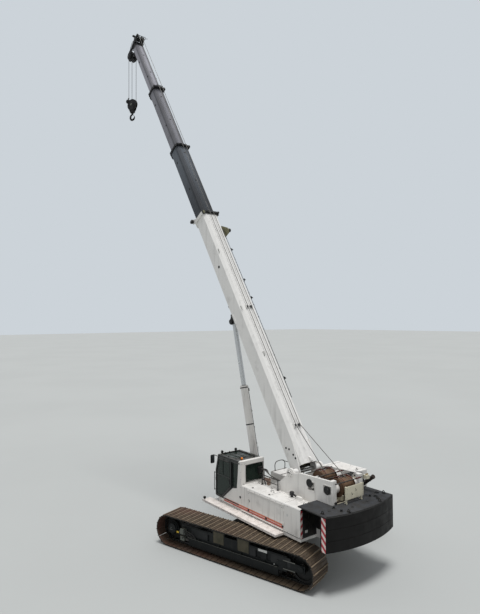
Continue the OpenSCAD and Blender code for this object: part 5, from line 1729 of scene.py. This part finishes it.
def head_top(fit):
    """The lamp and the wind gauge on the head, with their bars, cover and cable."""
    tip = TIP_END
    lamp, way = (tip + 120, 345, 380), (-0.3, 0, -1)
    fit.rod((tip + 110, -250, 525), (tip + 110, 250, 525), 14, boom_black, 12)
    fit.rod((tip + 110, 205, 400), (tip + 110, 340, 400), 16, boom_black, 12)
    fit.lathe([(0, -50), (62, -40), (78, 0), (78, 40), (60, 46), (0, 46)], lamp, way, boom_black, 28)
    fit.lathe([(66, 46), (60, 52), (0, 54)], lamp, way, lens, 28)
    fit.prism(rounded(tip + 20, 470, tip + 160, 560, 16), 150, 230, boom_black, axis="y")
    fit.tube([(tip + 60, -230, 400), (tip + 20, -250, 480), (tip + 10, -250, 540)], 9, boom_black)
    for u, v in circle(3, 70, 20):
        x, y = tip + 10 + u, -250 + v
        fit.tube([(tip + 10, -250, 540), (x, y, 540)], 5, boom_black, 6, steps=1)
        fit.lathe([(0, -22), (20, -8), (20, 8), (0, 22)], (x, y, 540), UP, boom_black, 12)
    fit.prism(rounded(tip - 10, -300, tip + 130, -210, 10), -300, -214, boom_black, axis="y")
    fit.tube([(tip + 60, -257, -300), (tip + 60, -250, -460), (tip + 90, -230, -640)], 7, hose, 6)


def head_fittings():
    fit, tip = Shape("boom_head_fittings", BOOM), TIP_END
    for s, n, r in ((tip + 205, 150, 14), (tip + 60, 30, 30), (tip + 215, -180, 24), (tip + 60, -330, 22)):
        fit.rod((s, -188, n), (s, 188, n), r, boom_black, 14)
    for e in (-1, 1):
        head_side(fit, e)
    head_top(fit)
    fit.done("boom_tip", 2, 1, slot="black_boom")


def sheave_webs(name, at, r, body):
    """Rims, hubs and the holes in the webs of a pair of sheaves, the holes as dark discs of painted shade."""
    webs = Shape(name, BOOM @ Matrix.Translation((at[0], 0, at[1])))
    hub, hole = 64 + r * 0.12, [(r * 0.15, 30), (r * 0.15, 32), (r * 0.13, 32), (r * 0.12, 30.4), (0, 30.4)]
    for y in (-FALL_Y, FALL_Y):
        for e in (-1, 1):
            out = (0, e, 0)
            webs.lathe([(r + 13, 24), (r + 13, 31), (r - 8, 33), (r - 34, 30.5)], (0, y, 0), out, dark_steel,
                       40)
            webs.lathe([(hub, 30), (hub, 36), (62, 36)], (0, y, 0), out, machined, 28)
            for u, w in circle(5, r * 0.62):
                webs.lathe(hole, (u, y, w), out, pocket_shade, 18)
    webs.done(body, 0, slot="sheave_steel")


def block_fittings():
    """Caps, bolts, cheeks and guard rods of the hook block, and the hook's collar."""
    fit = Shape("hook_block_fittings", BLOCK)
    middle = (0, 0, 0)
    for e in (-1, 1):
        out = (0, e, 0)
        fit.lathe([(150, 78), (150, 88), (120, 96), (72, 98), (64, 112), (0, 112)], middle, out, boom_black,
                  32)
        fit.lathe([(60, 111), (56, 118), (0, 120)], middle, out, grey_valve, 28)
        fit.bolts([(u, e * 86, w) for u, w in circle(8, 130)], out, 10, dark_steel)
        fit.prism(taper(-230, 230, -60, -150, 150, -300), *sorted((e * 80, e * 112)), boom_black,
                  axis="y", inset=0.12)
        fit.bolts([(x, e * 80, -390) for x in (-60, 60)], out, 15, dark_steel)
        for x, z in ((e * 238, 96), (e * 150, 246)):
            fit.rod((x, -66, z), (x, 66, z), 18, dark_steel, 12)
    fit.lathe([(64, -452), (64, -470), (56, -476), (46, -476)], middle, UP, dark_steel, 24)
    fit.done("hook_block", 3, 2, slot="black_boom")


def rope_sockets():
    """The weight on one fall, and the wedge socket in which the last one ends."""
    side, x, y = Shape("rope_sockets", UPPER @ Matrix.Translation(FALL_LOW)), SHEAVE_R, FALL_Y
    side.lathe([(16, 130), (52, 140), (98, 174), (122, 226), (122, 266), (96, 322), (46, 350), (26, 354),
                (26, 402), (16, 408)], (x + 24, y + 24, 0), UP, boom_black, 32)
    side.prism([(x - 40, y - 10), (x + 26, y - 30), (x + 40, y + 24), (x - 30, y + 34)], 400, 450, brown_dark,
               inset=0.1)
    side.prism([(x - 34, 205), (x + 30, 205), (x + 44, 60), (x + 10, -30), (x - 30, -30), (x - 40, 60)],
               -y - 30, -y + 30, dark_steel, axis="y")
    side.rod((x, -y - 44, 0), (x - 60, 30, -20), 24, machined, 14)
    side.tube([(x + 10, -y, 60), (x + 26, -y, -60), (x + 18, -y, -150)], ROPE_R, rope_wire)
    side.done("hook_block", 3, 1, slot="black_boom")


def crane_hook():
    """The hook, thickest under its saddle, with its latch and nut."""
    hook = Shape("crane_hook", BLOCK)
    bend, saddle_z = 146, -668
    path, thick = [(0, 0, -340), (0, 0, -420), (0, 0, -500)], [44, 44, 46]
    for a, r in ((76, 50), (50, 52), (20, 58), (-15, 64), (-50, 66), (-85, 64), (-120, 58), (-150, 48),
                 (-175, 34), (-188, 22)):
        path.append((bend * cos(radians(a)), 0, saddle_z + bend * sin(radians(a))))
        thick.append(r * 0.82)
    hook.tube(path, thick, boom_black, 20, steps=5)
    hook.tube([(14, 0, -520), (-60, 0, -560), (-140, 0, -630)], 9, dark_steel, 10)
    hook.prism(rounded(-24, -476, 24, -492, 4), -30, 30, dark_steel, axis="y")
    obj = hook.done("hook", 0, slot="black_boom")
    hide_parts("hook")


def lift_barrel():
    """The lift cylinder's gland with its bolts, bands, valve, pipe and hoses."""
    barrel, end = Shape("lift_barrel_fittings", CYLINDER), 3667
    barrel.bolts([(end, v, w) for v, w in circle(12, 128)], AHEAD, 12, dark_steel)
    barrel.lathe([(156, -92), (164, -86), (164, -60), (156, -54)], (end, 0, 0), AHEAD, white_boom, 40)
    barrel.lathe([(128, 0), (128, 10), (94, 16)], (end, 0, 0), AHEAD, black, 40)
    for s in (330, 2200):
        barrel.lathe([(141, 0), (147, 3), (147, 37), (141, 40)], (s, 0, 0), AHEAD, dark_steel, 40)
    barrel.prism(rounded(240, -60, 420, 60, 14), 136, 210, dark_steel)
    barrel.prism(rounded(3450, -50, 3560, 50, 12), -196, -138, dark_steel, axis="y")
    barrel.tube([(400, -40, 180), (500, -130, 130), (640, -168, 30), (1600, -170, 16), (3300, -170, 16),
                 (3470, -176, 6)], 16, white_boom, 10)
    for s in (900, 1500, 2100, 2700):
        barrel.box((s - 20, -188, -10), (s + 20, -130, 42), dark_steel)
    for y in (-30, 30):
        barrel.tube([(280, y, 205), (180, y * 1.4, 300), (60, y * 2, 330), (-60, y * 2.4, 260),
                     (-150, y * 2.6, 60)], 17, hose)
    barrel.done("lift_barrel", 2, 1, slot="white_paint")


def lift_rod_eye():
    eye, top = Shape("lift_rod_eye", CYLINDER), 6189.23
    for e in (-1, 1):
        eye.lathe([(104, 0), (104, 6), (76, 8), (66, 2)], (top, e * 100, 0), (0, e, 0), black, 36)
    eye.rod((top, 0, 96), (top, 0, 124), 10, brass, 8)
    eye.done("lift_rod", 1, 1, slot="chrome_rod")


def lift_foot():
    """Pin caps and gussets at the lift cylinder's foot, the hoses past it and the boxes beside it."""
    ears, x, z = Shape("lift_foot", UPPER), 985, 1600
    for e in (-1, 1):
        ears.lathe(cap(100, 12, 64, 16), (x, e * 280, z), (0, e, 0), black, 32)
        ears.bolts([(x + u, e * 290, z + w) for u, w in circle(4, 80, 45)], (0, e, 0), 9, dark_steel)
        for s in (790, 1180):
            gusset = [(s - 10, 1361), (s + 10, 1361), (s + 10, 1500), (s - 10, 1400)]
            ears.prism(gusset, *sorted((e * 262, e * 330)), white, axis="y")
    for y in (-430, -500, 430):
        ears.tube([(300, y, 1366), (500, y, 1392), (800, y * 0.9, 1400), (1150, y * 0.9, 1396),
                   (1400, y, 1366)], 17, hose)
    ears.prism(rounded(420, 380, 620, 560, 20), 1361, 1470, grey_valve)
    ears.prism(rounded(300, -620, 700, -420, 20), 1361, 1500, black)
    ears.done("upper", 2, 1, slot="white_paint")


boom_ropes()
rope_over_head()
falls()
collar_fittings()
base_fittings()
section_marks()
head_fittings()
sheave_webs("head_sheave_webs", HEAD_LOW, SHEAVE_R, "head_sheaves")
sheave_webs("idler_sheave_webs", HEAD_TOP, IDLER_R, "idler_sheaves")
block_fittings()
rope_sockets()
crane_hook()
lift_barrel()
lift_rod_eye()
lift_foot()


# Floor, light and camera

FLOOR, SKY = srgb(176, 178, 176), srgb(204, 211, 217)


def lay_floor():
    """The ground, slightly uneven in tone."""
    ground = Nodes("floor")
    share = ground.ramp(ground.noise(0.08, 5.0), 0.35, 0.65)
    ground.link(ground.mix(share, [c * 0.97 for c in FLOOR[:3]] + [1], FLOOR),
                ground.bsdf.inputs["Base Color"])
    ground.bsdf.inputs["Roughness"].default_value = 0.9
    ground.bsdf.inputs["Specular IOR Level"].default_value = 0.2
    bpy.ops.mesh.primitive_plane_add(size=600)
    floor = bpy.context.object
    floor.name = "floor"
    floor.data.materials.append(ground.mat)


def light_sky():
    """Soft light from everywhere, and the sky's own colour where the camera sees it or through glass."""
    world = bpy.context.scene.world or bpy.data.worlds.new("world")
    bpy.context.scene.world = world
    world.use_nodes = True
    tree = world.node_tree
    tree.nodes.clear()
    paths = tree.nodes.new("ShaderNodeLightPath")
    lit, seen = tree.nodes.new("ShaderNodeBackground"), tree.nodes.new("ShaderNodeBackground")
    lit.inputs["Color"].default_value = (0.93, 0.96, 1.0, 1)
    lit.inputs["Strength"].default_value = 0.55
    seen.inputs["Color"].default_value = SKY
    either = tree.nodes.new("ShaderNodeMath")
    either.operation = "MAXIMUM"
    choose, out = tree.nodes.new("ShaderNodeMixShader"), tree.nodes.new("ShaderNodeOutputWorld")
    for source, socket in ((paths.outputs["Is Camera Ray"], either.inputs[0]),
                           (paths.outputs["Is Transmission Ray"], either.inputs[1]),
                           (either.outputs[0], choose.inputs[0]), (lit.outputs[0], choose.inputs[1]),
                           (seen.outputs[0], choose.inputs[2]), (choose.outputs[0], out.inputs["Surface"])):
        tree.links.new(source, socket)


def hang_sun():
    """A soft sun almost overhead, as under a bright overcast sky."""
    sun = bpy.data.objects.new("sun", bpy.data.lights.new("sun", "SUN"))
    sun.data.energy, sun.data.angle = 2.4, radians(20)
    sun.rotation_euler = Vector((-0.1, 0.05, 1.0)).to_track_quat("Z", "Y").to_euler()
    bpy.context.scene.collection.objects.link(sun)


def set_camera():
    """The camera that took the photo, as fitted to points of it."""
    camera = bpy.data.objects.new("camera", bpy.data.cameras.new("camera"))
    photo_high, focal_pixels, sensor = 614, 507.693, 36
    camera.data.lens, camera.data.sensor_width = focal_pixels / photo_high * sensor, sensor
    camera.data.clip_end = 1000
    place = (-13.51483 - MID_X, 11.98942, 7.65998)
    ahead, right = (0.792416, -0.609399, 0.026636), (-0.609497, -0.792772, -0.005207)
    up = (-0.024289, 0.012109, 0.999632)
    turn = Matrix([[right[i], up[i], -ahead[i]] for i in range(3)]).to_4x4()
    camera.matrix_world = Matrix.Translation(place) @ turn
    bpy.context.scene.collection.objects.link(camera)
    bpy.context.scene.camera = camera
    bpy.context.scene.view_settings.view_transform = "Standard"


lay_floor()
light_sky()
hang_sun()
set_camera()
